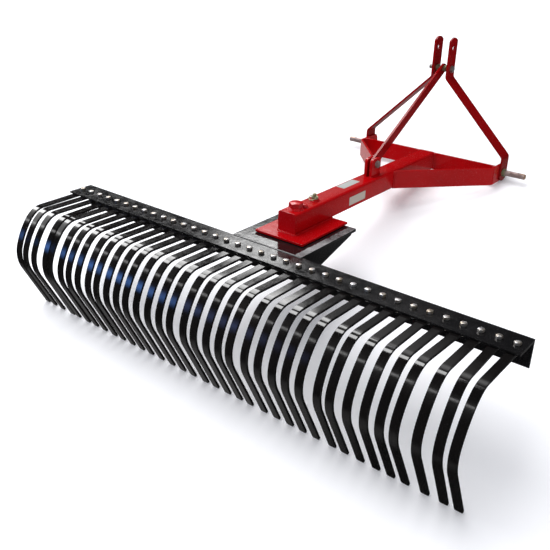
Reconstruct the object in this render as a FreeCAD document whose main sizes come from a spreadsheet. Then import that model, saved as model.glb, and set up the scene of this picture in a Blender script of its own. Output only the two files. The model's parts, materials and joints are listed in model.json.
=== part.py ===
import FreeCAD, Part
import math
import os
import re

import Sketcher

# Landscape rake for a category 1 three-point hitch.
# Machine frame, used by every sketch: X to the right, Y forward to the tractor, Z up, millimetres.
# Its zero is the middle of the rake bar, on the front face of the bar's leg and level with the top
# of its flange. The finished machine is set down parked, on its tines and its two hitch feet.

DIMENSIONS = [
    # rake bar: a rolled angle, flange level and pointing back, leg hanging at the front
    ("flange_width", 101.6, "width of the bar's level flange"),
    ("leg_depth", 88.9, "depth of the bar's hanging leg"),
    ("bar_thick", 8.0, "thickness of the bar's flange and leg"),
    ("bar_root_radius", 5.0, "rolled radius inside the angle"),
    ("bar_toe_radius", 3.5, "rolled radius at the two toes"),
    # tines
    ("tine_count", 36, "number of tines"),
    ("tine_pitch", 50.8, "distance from tine to tine"),
    ("bar_end", 25.4, "distance from the last tine's bolt to the end of the bar"),
    ("tine_width", 25.4, "width of the tine's flat spring steel"),
    ("tine_thick", 8.0, "thickness of the tine's flat spring steel"),
    ("tine_root_gap", 1.0, "gap from the bar's root radius to the front end of a tine"),
    ("tine_bolt_line", 57.0, "distance of the tine bolts behind the bar's front face"),
    ("tine_bolt_hole", 13.5, "diameter of the tine bolt holes"),
    ("tine_reach", 251.4, "distance of the tine's first bend behind the bar's front face"),
    ("shoulder_angle", 39.9, "turn of the tine's first bend"),
    ("shoulder_radius", 69.2, "inside radius of the first bend"),
    ("shoulder_run", 12.0, "straight after the first bend"),
    ("knuckle_angle", 11.3, "turn of the tine's second bend"),
    ("knuckle_radius", 52.0, "inside radius of the second bend"),
    ("knuckle_run", 8.0, "straight after the second bend"),
    ("back_angle", 17.7, "turn of the tine's long back curve"),
    ("back_radius", 281.0, "inside radius of the back curve"),
    ("back_run", 6.0, "straight after the back curve"),
    ("heel_angle", 47.1, "turn of the tine's lowest bend"),
    ("heel_radius", 118.0, "inside radius of the lowest bend"),
    ("point_run", 197.6, "straight length down to the tine's point"),
    ("point_clip", 3.0, "clipped corners of the tine's point"),
    # deck plate in front of the bar and its gussets
    ("deck_half_width", 147.0, "half the width of the deck plate"),
    ("deck_nose", 55.0, "length of the deck plate in front of the lock pin"),
    ("deck_thick", 9.5, "thickness of the deck plate"),
    ("deck_rise", 2.0, "height of the deck's top over the bar's flange"),
    ("deck_corner_radius", 4.0, "rounded front corners of the deck"),
    ("gusset_thick", 9.5, "thickness of a gusset"),
    ("gusset_setback", 30.0, "distance of a gusset's front end behind the deck's front edge"),
    ("gusset_nose", 4.0, "height of the gusset's front end"),
    ("gusset_toe", 30.0, "width of the gusset's lower end"),
    # swivel
    ("pivot_forward", 155.0, "distance of the kingpin in front of the bar"),
    ("kingpin_diameter", 28.6, "diameter of the kingpin"),
    ("kingpin_across_flats", 43.0, "width of the kingpin's head and nut over their flats"),
    ("kingpin_head_height", 18.5, "height of the kingpin's head"),
    ("kingpin_nut_height", 22.0, "height of the kingpin's nut"),
    ("kingpin_tail", 6.0, "thread that stands out under the nut"),
    ("pin_clearance", 0.25, "radial clearance of the kingpin"),
    ("washer_thick", 2.1, "thickness of the swivel washer and of the one over the nut"),
    ("running_gap", 0.4, "gap between the deck and each of those washers"),
    ("washer_diameter", 70.0, "diameter of the swivel washer"),
    ("swivel_half_width", 101.6, "half the width of the swivel plate"),
    ("swivel_tail", 93.0, "length of the swivel plate behind the kingpin"),
    ("swivel_nose", 65.0, "length of the swivel plate in front of the lock pin"),
    ("swivel_thick", 8.0, "thickness of the swivel plate"),
    # lock pin and the ring of index holes
    ("index_radius", 110.0, "radius of the ring of index holes about the kingpin"),
    ("index_step", 15.0, "angle from one index hole to the next"),
    ("index_count", 7, "number of index holes"),
    ("lock_diameter", 16.0, "diameter of the lock pin"),
    ("lock_clearance", 0.75, "radial clearance of the lock pin in its holes"),
    ("lock_tail", 7.0, "length of the lock pin under the deck"),
    ("boss_diameter", 30.0, "diameter of the lock pin's boss on the boom"),
    ("boss_height", 6.0, "height of that boss"),
    ("lock_head_diameter", 24.0, "diameter of the lock pin's head"),
    ("lock_head_height", 8.0, "height of the lock pin's head"),
    ("lock_neck_diameter", 12.0, "diameter of the neck on the lock pin's head"),
    ("lock_neck_height", 11.0, "height of that neck"),
    ("lock_ring_hole", 6.8, "cross hole in the neck for the pull ring"),
    ("lock_ring_radius", 14.0, "radius of the pull ring"),
    ("lock_ring_wire", 3.5, "wire of the pull ring"),
    ("lock_ring_lean", 25.0, "angle of the pull ring below level"),
    # boom
    ("boom_size", 75.0, "outer width and height of the boom tube"),
    ("boom_wall", 6.0, "wall of the boom tube"),
    ("boom_corner", 9.0, "outer corner radius of the boom tube"),
    ("boom_tail", 49.0, "length of the boom behind the kingpin"),
    ("cap_thick", 6.0, "thickness of the cap on the boom's rear end"),
    ("crossbar_rear", 1090.0, "distance of the crossbar's rear face in front of the bar"),
    # hitch frame
    ("frame_height", 72.0, "height of the crossbar and the wings"),
    ("frame_thick", 10.0, "thickness of the crossbar and the wings"),
    ("wing_bend_gap", 28.7, "distance of the wing's bend behind the crossbar's rear face"),
    ("wing_angle", 42.5, "angle of a wing from straight ahead"),
    ("wing_radius", 16.0, "inside radius of the wing's bend"),
    ("hitch_half", 320.0, "distance of a wing's outer face from the middle"),
    ("foot_margin", 6.0, "how much the radius of the feet and the mast's top exceeds half the wing's height"),
    ("hitch_pin_rise", 38.0, "height of the lower hitch pins over the bottom of the wings"),
    ("hitch_pin_setback", 12.0, "distance of the lower hitch pins behind the straps' middle"),
    ("hitch_pin_diameter", 22.2, "diameter of the lower hitch pins"),
    ("hitch_pin_length", 84.0, "length of a hitch pin outside its collar"),
    ("hitch_pin_hole", 11.5, "cross hole for the linch pin"),
    ("hitch_pin_hole_inset", 29.0, "distance of that hole from the pin's tip"),
    ("collar_across_flats", 32.0, "hexagon of the hitch pin's collar and nut"),
    ("collar_thick", 13.0, "thickness of that collar and nut"),
    ("hitch_pin_thread", 7.0, "thread of the hitch pin that stands out inside its nut"),
    ("hitch_pin_clearance", 0.25, "radial clearance of the hitch pin in the wing and the strap"),
    ("hitch_pin_point", 2.5, "bevel at the hitch pin's tip"),
    # mast
    ("strap_width", 63.5, "width of a mast strap"),
    ("strap_thick", 8.0, "thickness of a mast strap"),
    ("strap_radius", 14.0, "inside radius of a mast strap's bends"),
    ("mast_lead", 62.0, "distance of the straps' middle in front of the crossbar's rear face"),
    ("clevis_half", 29.0, "half the gap between the mast straps"),
    ("top_link_height", 513.0, "height of the top link's hole"),
    ("top_link_hole", 19.6, "diameter of the top link's hole"),
    ("upper_bend_drop", 120.0, "distance of the strap's upper bend below the top link's hole"),
    ("lower_bend_rise", 99.5, "height of the strap's lower bend over its foot"),
    # brace from the boom to the mast
    ("brace_width", 38.1, "width of the brace's flat bar"),
    ("brace_thick", 9.5, "thickness of the brace's flat bar"),
    ("brace_gap", 0.75, "gap on each side of the brace, between its lugs"),
    ("brace_bolt_diameter", 15.9, "diameter of the bolts at the brace's ends"),
    ("brace_bolt_setback", 445.0, "distance of the brace's lower bolt behind the crossbar"),
    ("brace_bolt_rise", 46.5, "height of the brace's lower bolt over the boom"),
    ("mast_bolt_drop", 84.0, "distance of the bolt through the mast below the top link's hole"),
    ("lug_tail", 33.0, "length of a lug behind the brace's lower bolt"),
    ("lug_length", 62.0, "length of a lug along the boom"),
    ("lug_height", 70.0, "height of a lug over the boom"),
    ("lug_thick", 12.0, "thickness of a lug"),
    ("lug_corner", 14.0, "rounded upper corners of a lug"),
    ("bolt_across_flats", 24.0, "hexagon of the brace's and the mast's bolt heads"),
    ("bolt_head_height", 10.0, "height of those bolt heads"),
    ("bolt_clearance", 0.4, "radial clearance of the brace's and the mast's bolts"),
    ("mast_bolt_tail", 25.0, "length of the mast bolt past the left strap"),
]

UP = FreeCAD.Vector(0, 0, 1)
SHEET = "Sizes"

# Degrees that each tine has turned about its bolt, from the left, as the tines of a rake do in use.
# A positive turn moves the point to the right. A tine past the end of the list stands straight.
TINE_TURNS = [1.0, -1.0, -1.0, 2.2, -1.9, 0.0, -0.9, -1.0, 0.0, -1.2, -0.9, -1.1, -2.0, -1.6, -1.0, -0.7,
              -1.2, 0.5, -0.6, -0.3, -0.5, -2.0, -0.3, -0.3, 0.0, -0.7, -1.2, 0.9, -1.0, -0.2, 0.2, -0.5,
              -2.0, 0.5, 1.9, 0.0]

# lengths and heights that follow from the sheet's own values
BAR_LENGTH = "(tine_count - 1) * tine_pitch + 2 * bar_end"
LOCK_FORWARD = "pivot_forward + index_radius"
DECK_LENGTH = f"{LOCK_FORWARD} + deck_nose"
DECK_BOTTOM = "deck_rise - deck_thick"
NUT_WASHER_TOP = f"{DECK_BOTTOM} - running_gap"
WASHER_BOTTOM = "deck_rise + running_gap"
SWIVEL_BOTTOM = f"{WASHER_BOTTOM} + washer_thick"
BOOM_BOTTOM = f"{SWIVEL_BOTTOM} + swivel_thick"
BOOM_TOP = f"{BOOM_BOTTOM} + boom_size"
BOOM_HALF = "boom_size / 2"
FRAME_TOP = f"{BOOM_BOTTOM} + frame_height"
BOOM_REAR = "pivot_forward - boom_tail"
FOOT_RADIUS = "(frame_height / 2 + foot_margin)"
FOOT_CENTRE = f"{BOOM_BOTTOM} + {FOOT_RADIUS}"
MAST_FORWARD = "crossbar_rear + mast_lead"
WING_REACH = f"(hitch_half - {BOOM_HALF})"
WING_START = f"crossbar_rear - wing_bend_gap - {WING_REACH} / tan(wing_angle)"
STRAP_REACH = "(hitch_half - clevis_half)"
UPPER_BEND = "top_link_height - upper_bend_drop"
LOWER_BEND = f"{BOOM_BOTTOM} + lower_bend_rise"
STRAP_SLANT = f"atan({STRAP_REACH} / ({UPPER_BEND} - ({LOWER_BEND})))"
HITCH_PIN_FORWARD = f"{MAST_FORWARD} - hitch_pin_setback"
HITCH_PIN_REACH = "hitch_half + strap_thick + collar_thick + hitch_pin_length"
BRACE_BOLT_FORWARD = "crossbar_rear - brace_bolt_setback"
LUG_INNER = "brace_thick / 2 + brace_gap"
KINGPIN_BORE = "kingpin_diameter + 2 * pin_clearance"
LOCK_BORE = "lock_diameter + 2 * lock_clearance"

doc = FreeCAD.newDocument("LandscapeRake")
pieces = []


def make_sheet():
    """Puts the driving dimensions in the spreadsheet, each with its alias and what it is."""
    sheet = doc.addObject("Spreadsheet::Sheet", SHEET)
    for row, (alias, value, meaning) in enumerate(DIMENSIONS, start=1):
        sheet.set(f"A{row}", str(value))
        sheet.setAlias(f"A{row}", alias)
        sheet.set(f"B{row}", meaning)
    doc.recompute()
    return sheet


def linked(text):
    """Turns a formula of plain aliases into one that other objects can use."""
    return re.sub(r"\b([a-z]+(?:_[a-z]+)+)\b", rf"{SHEET}.\1", text)


def value(text):
    """Works out a formula of aliases as a plain number."""
    result = sheet.evalExpression(linked(str(text)))
    return float(getattr(result, "Value", result))


def bind(thing, prop, text):
    """Binds a property to a formula of aliases."""
    thing.setExpression(prop, linked(text))


def new_body(name):
    """A body for one piece, in the list of pieces to export."""
    body = doc.addObject("PartDesign::Body", name)
    body.Label = name
    pieces.append(body)
    return body


def origin_feature(body, role):
    """One of the body's own origin planes or axes."""
    return next(f for f in body.Origin.OriginFeatures if f.Role == role)


def new_sketch(body, plane, name, distance="0"):
    """A sketch on one of the body's own origin planes, moved along the plane's normal by a distance."""
    sketch = body.newObject("Sketcher::SketchObject", name)
    sketch.AttachmentSupport = [(origin_feature(body, plane), "")]
    sketch.MapMode = "FlatFace"
    bind(sketch, "AttachmentOffset.Base.z", distance)
    return sketch


def dimension(sketch, kind, where, text):
    """Adds a dimension to a sketch and binds it to a formula. An angle's formula is in degrees."""
    number = math.radians(value(text)) if kind == "Angle" else value(text)
    index = sketch.addConstraint(Sketcher.Constraint(kind, *where, number))
    bind(sketch, f"Constraints[{index}]", text)


def join(sketch, kind, *where):
    """Adds a constraint that has no size, such as Coincident or Tangent."""
    sketch.addConstraint(Sketcher.Constraint(kind, *where))


def place_point(sketch, geometry, end, across, up):
    """Fixes a point of a sketch by its two coordinates, each a formula."""
    for kind, axis, text in (("DistanceX", -2, across), ("DistanceY", -1, up)):
        if abs(value(text)) < 1e-9:
            join(sketch, "PointOnObject", geometry, end, axis)
        elif value(text) > 0:
            dimension(sketch, kind, (-1, 1, geometry, end), text)
        else:
            dimension(sketch, kind, (geometry, end, -1, 1), f"-({text})")


def draw_polygon(sketch, corners):
    """A closed outline of straight edges through corners, each corner a pair of formulas."""
    points = [FreeCAD.Vector(value(x), value(y), 0) for x, y in corners]
    ends = zip(points, points[1:] + points[:1])
    lines = [sketch.addGeometry(Part.LineSegment(a, b), False) for a, b in ends]
    for line, following in zip(lines, lines[1:] + lines[:1]):
        join(sketch, "Coincident", line, 2, following, 1)
    for line, (x, y) in zip(lines, corners):
        place_point(sketch, line, 1, x, y)


def draw_rectangle(sketch, low, high):
    """A rectangle between two opposite corners."""
    draw_polygon(sketch, [low, (high[0], low[1]), high, (low[0], high[1])])


def draw_circle(sketch, centre, diameter):
    """A circle about a point."""
    middle = FreeCAD.Vector(value(centre[0]), value(centre[1]), 0)
    radius = f"({diameter}) / 2"
    circle = sketch.addGeometry(Part.Circle(middle, UP, value(radius)), False)
    dimension(sketch, "Radius", (circle,), radius)
    place_point(sketch, circle, 3, *centre)


def draw_hexagon(sketch, centre, flats):
    """A regular hexagon about a point, with two of its flats level."""
    half, point = f"({flats}) / 2", f"({flats}) / 2 / cos(30)"
    steps = [(point, "0"), (f"{point} / 2", half), (f"-{point} / 2", half)]
    steps += [(f"-{point}", "0"), (f"-{point} / 2", f"-{half}"), (f"{point} / 2", f"-{half}")]
    draw_polygon(sketch, [(f"{centre[0]} + {x}", f"{centre[1]} + {y}") for x, y in steps])


def draw_link(sketch, first, second, width):
    """A flat bar with both its ends rounded about two points."""
    radius = value(width) / 2
    here, there = (FreeCAD.Vector(value(x), value(y), 0) for x, y in (first, second))
    along = (there - here).normalize()
    angle = math.atan2(along.y, along.x)
    left = FreeCAD.Vector(-along.y, along.x, 0) * radius
    quarter = math.pi / 2
    rear = Part.ArcOfCircle(Part.Circle(here, UP, radius), angle + quarter, angle + 3 * quarter)
    front = Part.ArcOfCircle(Part.Circle(there, UP, radius), angle - quarter, angle + quarter)
    rear, front = sketch.addGeometry(rear, False), sketch.addGeometry(front, False)
    lower = sketch.addGeometry(Part.LineSegment(here - left, there - left), False)
    upper = sketch.addGeometry(Part.LineSegment(there + left, here + left), False)
    join(sketch, "Tangent", rear, 2, lower, 1)
    join(sketch, "Tangent", lower, 2, front, 1)
    join(sketch, "Tangent", front, 2, upper, 1)
    join(sketch, "Tangent", upper, 2, rear, 1)
    place_point(sketch, rear, 3, *first)
    place_point(sketch, front, 3, *second)
    dimension(sketch, "Radius", (rear,), f"({width}) / 2")


def draw_face(sketch, start, heading, course):
    """Draws one long face of a bent bar as lines and arcs that run on from each other.

    start is a point, heading an angle in radians, and course a list of (length, turn, radius), where a
    turn is in radians, positive to the left, and 0 on a straight run. Returns [(geometry, first end,
    last end)] and the last point.
    """
    here, drawn = start, []
    for length, turn, radius in course:
        travel = FreeCAD.Vector(math.cos(heading), math.sin(heading), 0)
        if not turn:
            there = here + travel * length
            drawn.append((sketch.addGeometry(Part.LineSegment(here, there), False), 1, 2))
        else:
            left = FreeCAD.Vector(-travel.y, travel.x, 0) * math.copysign(radius, turn)
            centre = here + left
            first = math.atan2(-left.y, -left.x)
            last = first + turn
            arc = Part.ArcOfCircle(Part.Circle(centre, UP, radius), min(first, last), max(first, last))
            ends = (1, 2) if turn > 0 else (2, 1)
            drawn.append((sketch.addGeometry(arc, False), *ends))
            there = centre + FreeCAD.Vector(math.cos(last), math.sin(last), 0) * radius
            heading += turn
        here = there
    for (piece, _, last), (following, first, _) in zip(drawn, drawn[1:]):
        join(sketch, "Tangent", piece, last, following, first)
    return drawn, here


def draw_bent_bar(sketch, start, heading, thick, side, elements, flush=False):
    """The edge view of a flat bar that is bent, as a closed outline.

    start is the first corner of the near face and heading the formula of its first direction in degrees.
    The thickness lies to the left of the travel when side is 1, and to the right when it is -1. elements
    hold ("run", length) and ("bend", angle, inside radius, 1 to the left or -1 to the right). The first
    end is cut square, or along the sketch's upright when flush is set.
    Returns the near and the far corner of the far end.
    """
    near_course, far_course = [], []
    for kind, size, *bend in elements:
        if kind == "run":
            near_course.append((value(size), 0, 0))
            far_course.append((value(size), 0, 0))
        else:
            turn = math.radians(value(size)) * bend[1]
            near_course.append((0, turn, value(face_radius(bend, thick, -side))))
            far_course.append((0, turn, value(face_radius(bend, thick, side))))
    angle = math.radians(value(heading))
    first = FreeCAD.Vector(value(start[0]), value(start[1]), 0)
    second = first + FreeCAD.Vector(-math.sin(angle), math.cos(angle), 0) * side * value(thick)
    if flush:
        rise = value(thick) / abs(math.cos(angle))
        second = first + FreeCAD.Vector(0, rise, 0)
        far_course[0] = (far_course[0][0] - rise * math.sin(angle), 0, 0)
    near, near_end = draw_face(sketch, first, angle, near_course)
    far, far_end = draw_face(sketch, second, angle, far_course)
    for (kind, size, *bend), (near_piece, _, _), (far_piece, _, _) in zip(elements, near, far):
        if kind == "run":
            dimension(sketch, "Distance", (near_piece,), size)
        else:
            dimension(sketch, "Angle", (near_piece,), size)
            dimension(sketch, "Radius", (near_piece,), face_radius(bend, thick, -side))
            dimension(sketch, "Radius", (far_piece,), face_radius(bend, thick, side))
            join(sketch, "Coincident", near_piece, 3, far_piece, 3)
    start_cap = sketch.addGeometry(Part.LineSegment(first, second), False)
    end_cap = sketch.addGeometry(Part.LineSegment(near_end, far_end), False)
    for cap, index, end in ((start_cap, 0, 1), (end_cap, -1, 2)):
        join(sketch, "Coincident", cap, 1, near[index][0], near[index][end])
        join(sketch, "Coincident", cap, 2, far[index][0], far[index][end])
        join(sketch, "Parallel", near[index][0], far[index][0])
    join(sketch, "Perpendicular", end_cap, near[-1][0])
    if flush:
        join(sketch, "Vertical", start_cap)
    else:
        join(sketch, "Perpendicular", start_cap, near[0][0])
    if abs(math.sin(angle)) < 1e-9:
        join(sketch, "Horizontal", near[0][0])
    elif abs(math.cos(angle)) < 1e-9:
        join(sketch, "Vertical", near[0][0])
    else:
        dimension(sketch, "Angle", (near[0][0],), heading)
    place_point(sketch, near[0][0], 1, *start)
    return near_end, far_end


def face_radius(bend, thick, side):
    """The radius of a bend, given as (inside radius, hand), on the bar's face of one side."""
    inside, hand = bend
    return inside if hand == side else f"{inside} + {thick}"


def pad(body, sketch, length, both_ways=False, reverse=False):
    """Pads a sketch by a length."""
    feature = body.newObject("PartDesign::Pad", f"{sketch.Name}_pad")
    feature.Profile = sketch
    feature.SideType = "Symmetric" if both_ways else "One side"
    feature.Reversed = reverse
    bind(feature, "Length", length)
    return feature


def cut_through(body, sketch):
    """Cuts a sketch right through the body, both ways."""
    feature = body.newObject("PartDesign::Pocket", f"{sketch.Name}_cut")
    feature.Profile = sketch
    feature.Type = "ThroughAll"
    feature.Midplane = True
    return feature


def edges_where(feature, test):
    """Names of a feature's edges that pass a test."""
    doc.recompute()
    edges = enumerate(feature.Shape.Edges, start=1)
    return [f"Edge{number}" for number, edge in edges if test(edge)]


def runs_along(edge, direction):
    """Whether an edge is straight and runs along a direction."""
    if not isinstance(edge.Curve, Part.Line):
        return False
    return abs(abs(edge.Curve.Direction.dot(direction)) - 1) < 1e-6


def near_line(edge, **place):
    """Whether an edge's middle lies at the given coordinates, to a hundredth of a millimetre."""
    middle = edge.valueAt((edge.FirstParameter + edge.LastParameter) / 2)
    return all(abs(getattr(middle, axis) - number) < 0.01 for axis, number in place.items())


def soften(body, feature, kind, test, size):
    """Rounds (Fillet) or bevels (Chamfer) the edges of a feature that pass a test."""
    names = edges_where(feature, test)
    if not names:
        raise RuntimeError(f"{body.Label}: no edge to soften")
    result = body.newObject(f"PartDesign::{kind}", f"{feature.Name}_{kind.lower()}")
    result.Base = (feature, names)
    bind(result, "Radius" if kind == "Fillet" else "Size", size)
    return result


def stack(body, plane, centre, layers):
    """Pads round and six-sided layers along a plane's normal, each (draw, size, from, length)."""
    for number, (draw, size, begin, length) in enumerate(layers, start=1):
        sketch = new_sketch(body, plane, f"{body.Name}_layer_{number}", begin)
        draw(sketch, centre, size)
        pad(body, sketch, length)


def mirrored(layers):
    """The same layers on the other side of the plane."""
    return [(draw, size, f"-({begin}) - ({length})", length) for draw, size, begin, length in layers]


def make_angle_bar():
    """The rake bar: a rolled angle with a row of bolt holes in its flange."""
    body = new_body("angle_bar")
    profile = new_sketch(body, "YZ_Plane", "bar_profile")
    flange, leg, thick = "-flange_width", "-leg_depth", "-bar_thick"
    corners = [("0", "0"), (flange, "0"), (flange, thick), (thick, thick), (thick, leg), ("0", leg)]
    draw_polygon(profile, corners)
    bar = pad(body, profile, BAR_LENGTH, both_ways=True)
    width, depth, wall = value("flange_width"), value("leg_depth"), value("bar_thick")
    along = FreeCAD.Vector(1, 0, 0)
    root = soften(body, bar, "Fillet",
                  lambda e: runs_along(e, along) and near_line(e, y=-wall, z=-wall), "bar_root_radius")
    soften(body, root, "Fillet",
                  lambda e: runs_along(e, along)
                  and (near_line(e, y=-width, z=-wall) or near_line(e, y=-wall, z=-depth)),
                  "bar_toe_radius")
    hole = new_sketch(body, "XY_Plane", "tine_bolt_hole")
    draw_circle(hole, ("-(tine_count - 1) / 2 * tine_pitch", "-tine_bolt_line"), "tine_bolt_hole")
    drilled = cut_through(body, hole)
    row = body.newObject("PartDesign::LinearPattern", "tine_bolt_row")
    row.Originals = [drilled]
    row.Direction = (origin_feature(body, "X_Axis"), [""])
    bind(row, "Length", "(tine_count - 1) * tine_pitch")
    bind(row, "Occurrences", "tine_count")
    body.Tip = row


TINE_ROOT = "bar_thick + bar_root_radius + tine_root_gap"
TINE_COURSE = [
    ("run", f"tine_reach - ({TINE_ROOT})"),
    ("bend", "shoulder_angle", "shoulder_radius", 1),
    ("run", "shoulder_run"),
    ("bend", "knuckle_angle", "knuckle_radius", 1),
    ("run", "knuckle_run"),
    ("bend", "back_angle", "back_radius", 1),
    ("run", "back_run"),
    ("bend", "heel_angle", "heel_radius", 1),
    ("run", "point_run"),
]


def make_tine(number):
    """One spring tine: flat steel that lies under the flange, curls down and ends in a straight point."""
    name = f"tine_{number:02d}"
    body = new_body(name)
    profile = new_sketch(body, "YZ_Plane", f"{name}_profile")
    start = (f"-({TINE_ROOT})", "-bar_thick")
    point = draw_bent_bar(profile, start, "180", "tine_thick", 1, TINE_COURSE)
    blade = pad(body, profile, "tine_width", both_ways=True)
    tip = (point[0] + point[1]) * 0.5
    soften(body, blade, "Chamfer", lambda e: near_line(e, y=tip.x, z=tip.y), "point_clip")
    hole = new_sketch(body, "XY_Plane", f"{name}_hole")
    draw_circle(hole, ("0", "-tine_bolt_line"), "tine_bolt_hole")
    cut_through(body, hole)
    offset = value(f"({number} - (tine_count + 1) / 2) * tine_pitch")
    bolt = FreeCAD.Vector(0, -value("tine_bolt_line"), 0)
    angle = TINE_TURNS[number - 1] if number <= len(TINE_TURNS) else 0
    turn = FreeCAD.Placement(FreeCAD.Vector(offset, 0, 0), FreeCAD.Rotation(UP, angle), bolt)
    body.Placement = turn
    return [turn.multVec(FreeCAD.Vector(0, corner.x, corner.y)) for corner in point]


def make_deck_plate():
    """The level plate in front of the bar, with the kingpin's hole and an arc of index holes."""
    body = new_body("deck_plate")
    outline = new_sketch(body, "XY_Plane", "deck_outline", DECK_BOTTOM)
    draw_rectangle(outline, ("-deck_half_width", "0"), ("deck_half_width", DECK_LENGTH))
    plate = pad(body, outline, "deck_thick")
    front = value(DECK_LENGTH)
    soften(body, plate, "Fillet", lambda e: runs_along(e, UP) and near_line(e, y=front),
           "deck_corner_radius")
    bore = new_sketch(body, "XY_Plane", "deck_kingpin_hole")
    draw_circle(bore, ("0", "pivot_forward"), KINGPIN_BORE)
    cut_through(body, bore)
    index = new_sketch(body, "XY_Plane", "index_hole")
    bind(index, "AttachmentOffset.Base.y", "pivot_forward")
    first = "(index_count - 1) / 2 * index_step"
    centre = (f"index_radius * sin({first})", f"index_radius * cos({first})")
    draw_circle(index, centre, LOCK_BORE)
    drilled = cut_through(body, index)
    ring = body.newObject("PartDesign::PolarPattern", "index_ring")
    ring.Originals = [drilled]
    ring.Axis = (index, ["N_Axis"])
    bind(ring, "Angle", "(index_count - 1) * index_step")
    bind(ring, "Occurrences", "index_count")
    body.Tip = ring


def make_gusset(name, hand):
    """A triangular plate under one side of the deck, down to the foot of the bar's leg."""
    body = new_body(name)
    inner = "deck_half_width - gusset_thick" if hand > 0 else "-deck_half_width"
    outline = new_sketch(body, "YZ_Plane", f"{name}_outline", inner)
    front, nose = f"{DECK_LENGTH} - gusset_setback", f"{DECK_BOTTOM} - gusset_nose"
    draw_polygon(outline, [("0", "-leg_depth"), ("gusset_toe", "-leg_depth"), (front, nose),
                           (front, DECK_BOTTOM), ("0", DECK_BOTTOM)])
    pad(body, outline, "gusset_thick")


def make_swivel_plate():
    """The plate welded under the boom, which turns on the deck."""
    body = new_body("swivel_plate")
    outline = new_sketch(body, "XY_Plane", "swivel_outline", SWIVEL_BOTTOM)
    draw_rectangle(outline, ("-swivel_half_width", "pivot_forward - swivel_tail"),
                   ("swivel_half_width", f"{LOCK_FORWARD} + swivel_nose"))
    pad(body, outline, "swivel_thick")
    drill_boom_holes(body, "swivel")


def drill_boom_holes(body, name):
    """The upright holes that the kingpin and the lock pin share."""
    holes = new_sketch(body, "XY_Plane", f"{name}_pin_holes")
    draw_circle(holes, ("0", "pivot_forward"), KINGPIN_BORE)
    draw_circle(holes, ("0", LOCK_FORWARD), LOCK_BORE)
    cut_through(body, holes)


def make_ring(name, low, height, outer, inner, forward):
    """A flat or tall ring about an upright axis."""
    body = new_body(name)
    outline = new_sketch(body, "XY_Plane", f"{name}_outline", low)
    draw_circle(outline, ("0", forward), outer)
    draw_circle(outline, ("0", forward), inner)
    pad(body, outline, height)
    return body


def make_kingpin():
    """The kingpin: a large bolt down through the boom, the swivel plate and the deck."""
    body = new_body("kingpin")
    foot = f"{NUT_WASHER_TOP} - washer_thick - kingpin_nut_height - kingpin_tail"
    stack(body, "XY_Plane", ("0", "pivot_forward"), [
        (draw_circle, "kingpin_diameter", foot, f"{BOOM_TOP} - ({foot})"),
        (draw_hexagon, "kingpin_across_flats", BOOM_TOP, "kingpin_head_height"),
    ])


def make_kingpin_nut():
    """The kingpin's nut under the deck, with its washer."""
    body = new_body("kingpin_nut")
    seat = f"{NUT_WASHER_TOP} - washer_thick"
    centre = ("0", "pivot_forward")
    stack(body, "XY_Plane", centre, [
        (draw_circle, "kingpin_across_flats * 1.3", seat, "washer_thick"),
        (draw_hexagon, "kingpin_across_flats", f"{seat} - kingpin_nut_height", "kingpin_nut_height"),
    ])
    bore = new_sketch(body, "XY_Plane", "kingpin_nut_bore")
    draw_circle(bore, centre, "kingpin_diameter")
    cut_through(body, bore)


def make_boom_tube():
    """The boom: a square tube from the swivel to the crossbar."""
    body = new_body("boom_tube")
    section = new_sketch(body, "XZ_Plane", "boom_section", f"-({BOOM_REAR} + cap_thick)")
    draw_rectangle(section, (f"-{BOOM_HALF}", BOOM_BOTTOM), (BOOM_HALF, BOOM_TOP))
    draw_rectangle(section, (f"-{BOOM_HALF} + boom_wall", f"{BOOM_BOTTOM} + boom_wall"),
                   (f"{BOOM_HALF} - boom_wall", f"{BOOM_TOP} - boom_wall"))
    tube = pad(body, section, f"crossbar_rear - ({BOOM_REAR}) - cap_thick", reverse=True)
    along, half = FreeCAD.Vector(0, 1, 0), value(BOOM_HALF)
    outer = soften(body, tube, "Fillet",
                   lambda e: runs_along(e, along) and abs(abs(e.valueAt(0).x) - half) < 0.01,
                   "boom_corner")
    bore = value(f"{BOOM_HALF} - boom_wall")
    soften(body, outer, "Fillet",
           lambda e: runs_along(e, along) and abs(abs(e.valueAt(0).x) - bore) < 0.01
           and isinstance(e.Curve, Part.Line) and inner_corner(e, bore),
           "boom_corner - boom_wall")
    drill_boom_holes(body, "boom")


def inner_corner(edge, bore):
    """Whether an edge along the boom is one of the four corners of its bore."""
    height = edge.valueAt(0).z
    low, high = value(f"{BOOM_BOTTOM} + boom_wall"), value(f"{BOOM_TOP} - boom_wall")
    return min(abs(height - low), abs(height - high)) < 0.01


def make_boom_end_cap():
    """The plate that closes the boom's rear end."""
    body = new_body("boom_end_cap")
    section = new_sketch(body, "XZ_Plane", "cap_section", f"-({BOOM_REAR})")
    draw_rectangle(section, (f"-{BOOM_HALF}", BOOM_BOTTOM), (BOOM_HALF, BOOM_TOP))
    cap = pad(body, section, "cap_thick", reverse=True)
    along = FreeCAD.Vector(0, 1, 0)
    soften(body, cap, "Fillet", lambda e: runs_along(e, along), "boom_corner")


def make_crossbar():
    """The flat bar across the front of the boom, between the wings."""
    body = new_body("hitch_crossbar")
    section = new_sketch(body, "XZ_Plane", "crossbar_section", "-crossbar_rear")
    half = "hitch_half - frame_thick"
    draw_rectangle(section, (f"-({half})", BOOM_BOTTOM), (half, FRAME_TOP))
    pad(body, section, "frame_thick", reverse=True)


def signed(hand, text):
    """A formula with its sign changed on the left side."""
    return text if hand > 0 else f"-({text})"


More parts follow.
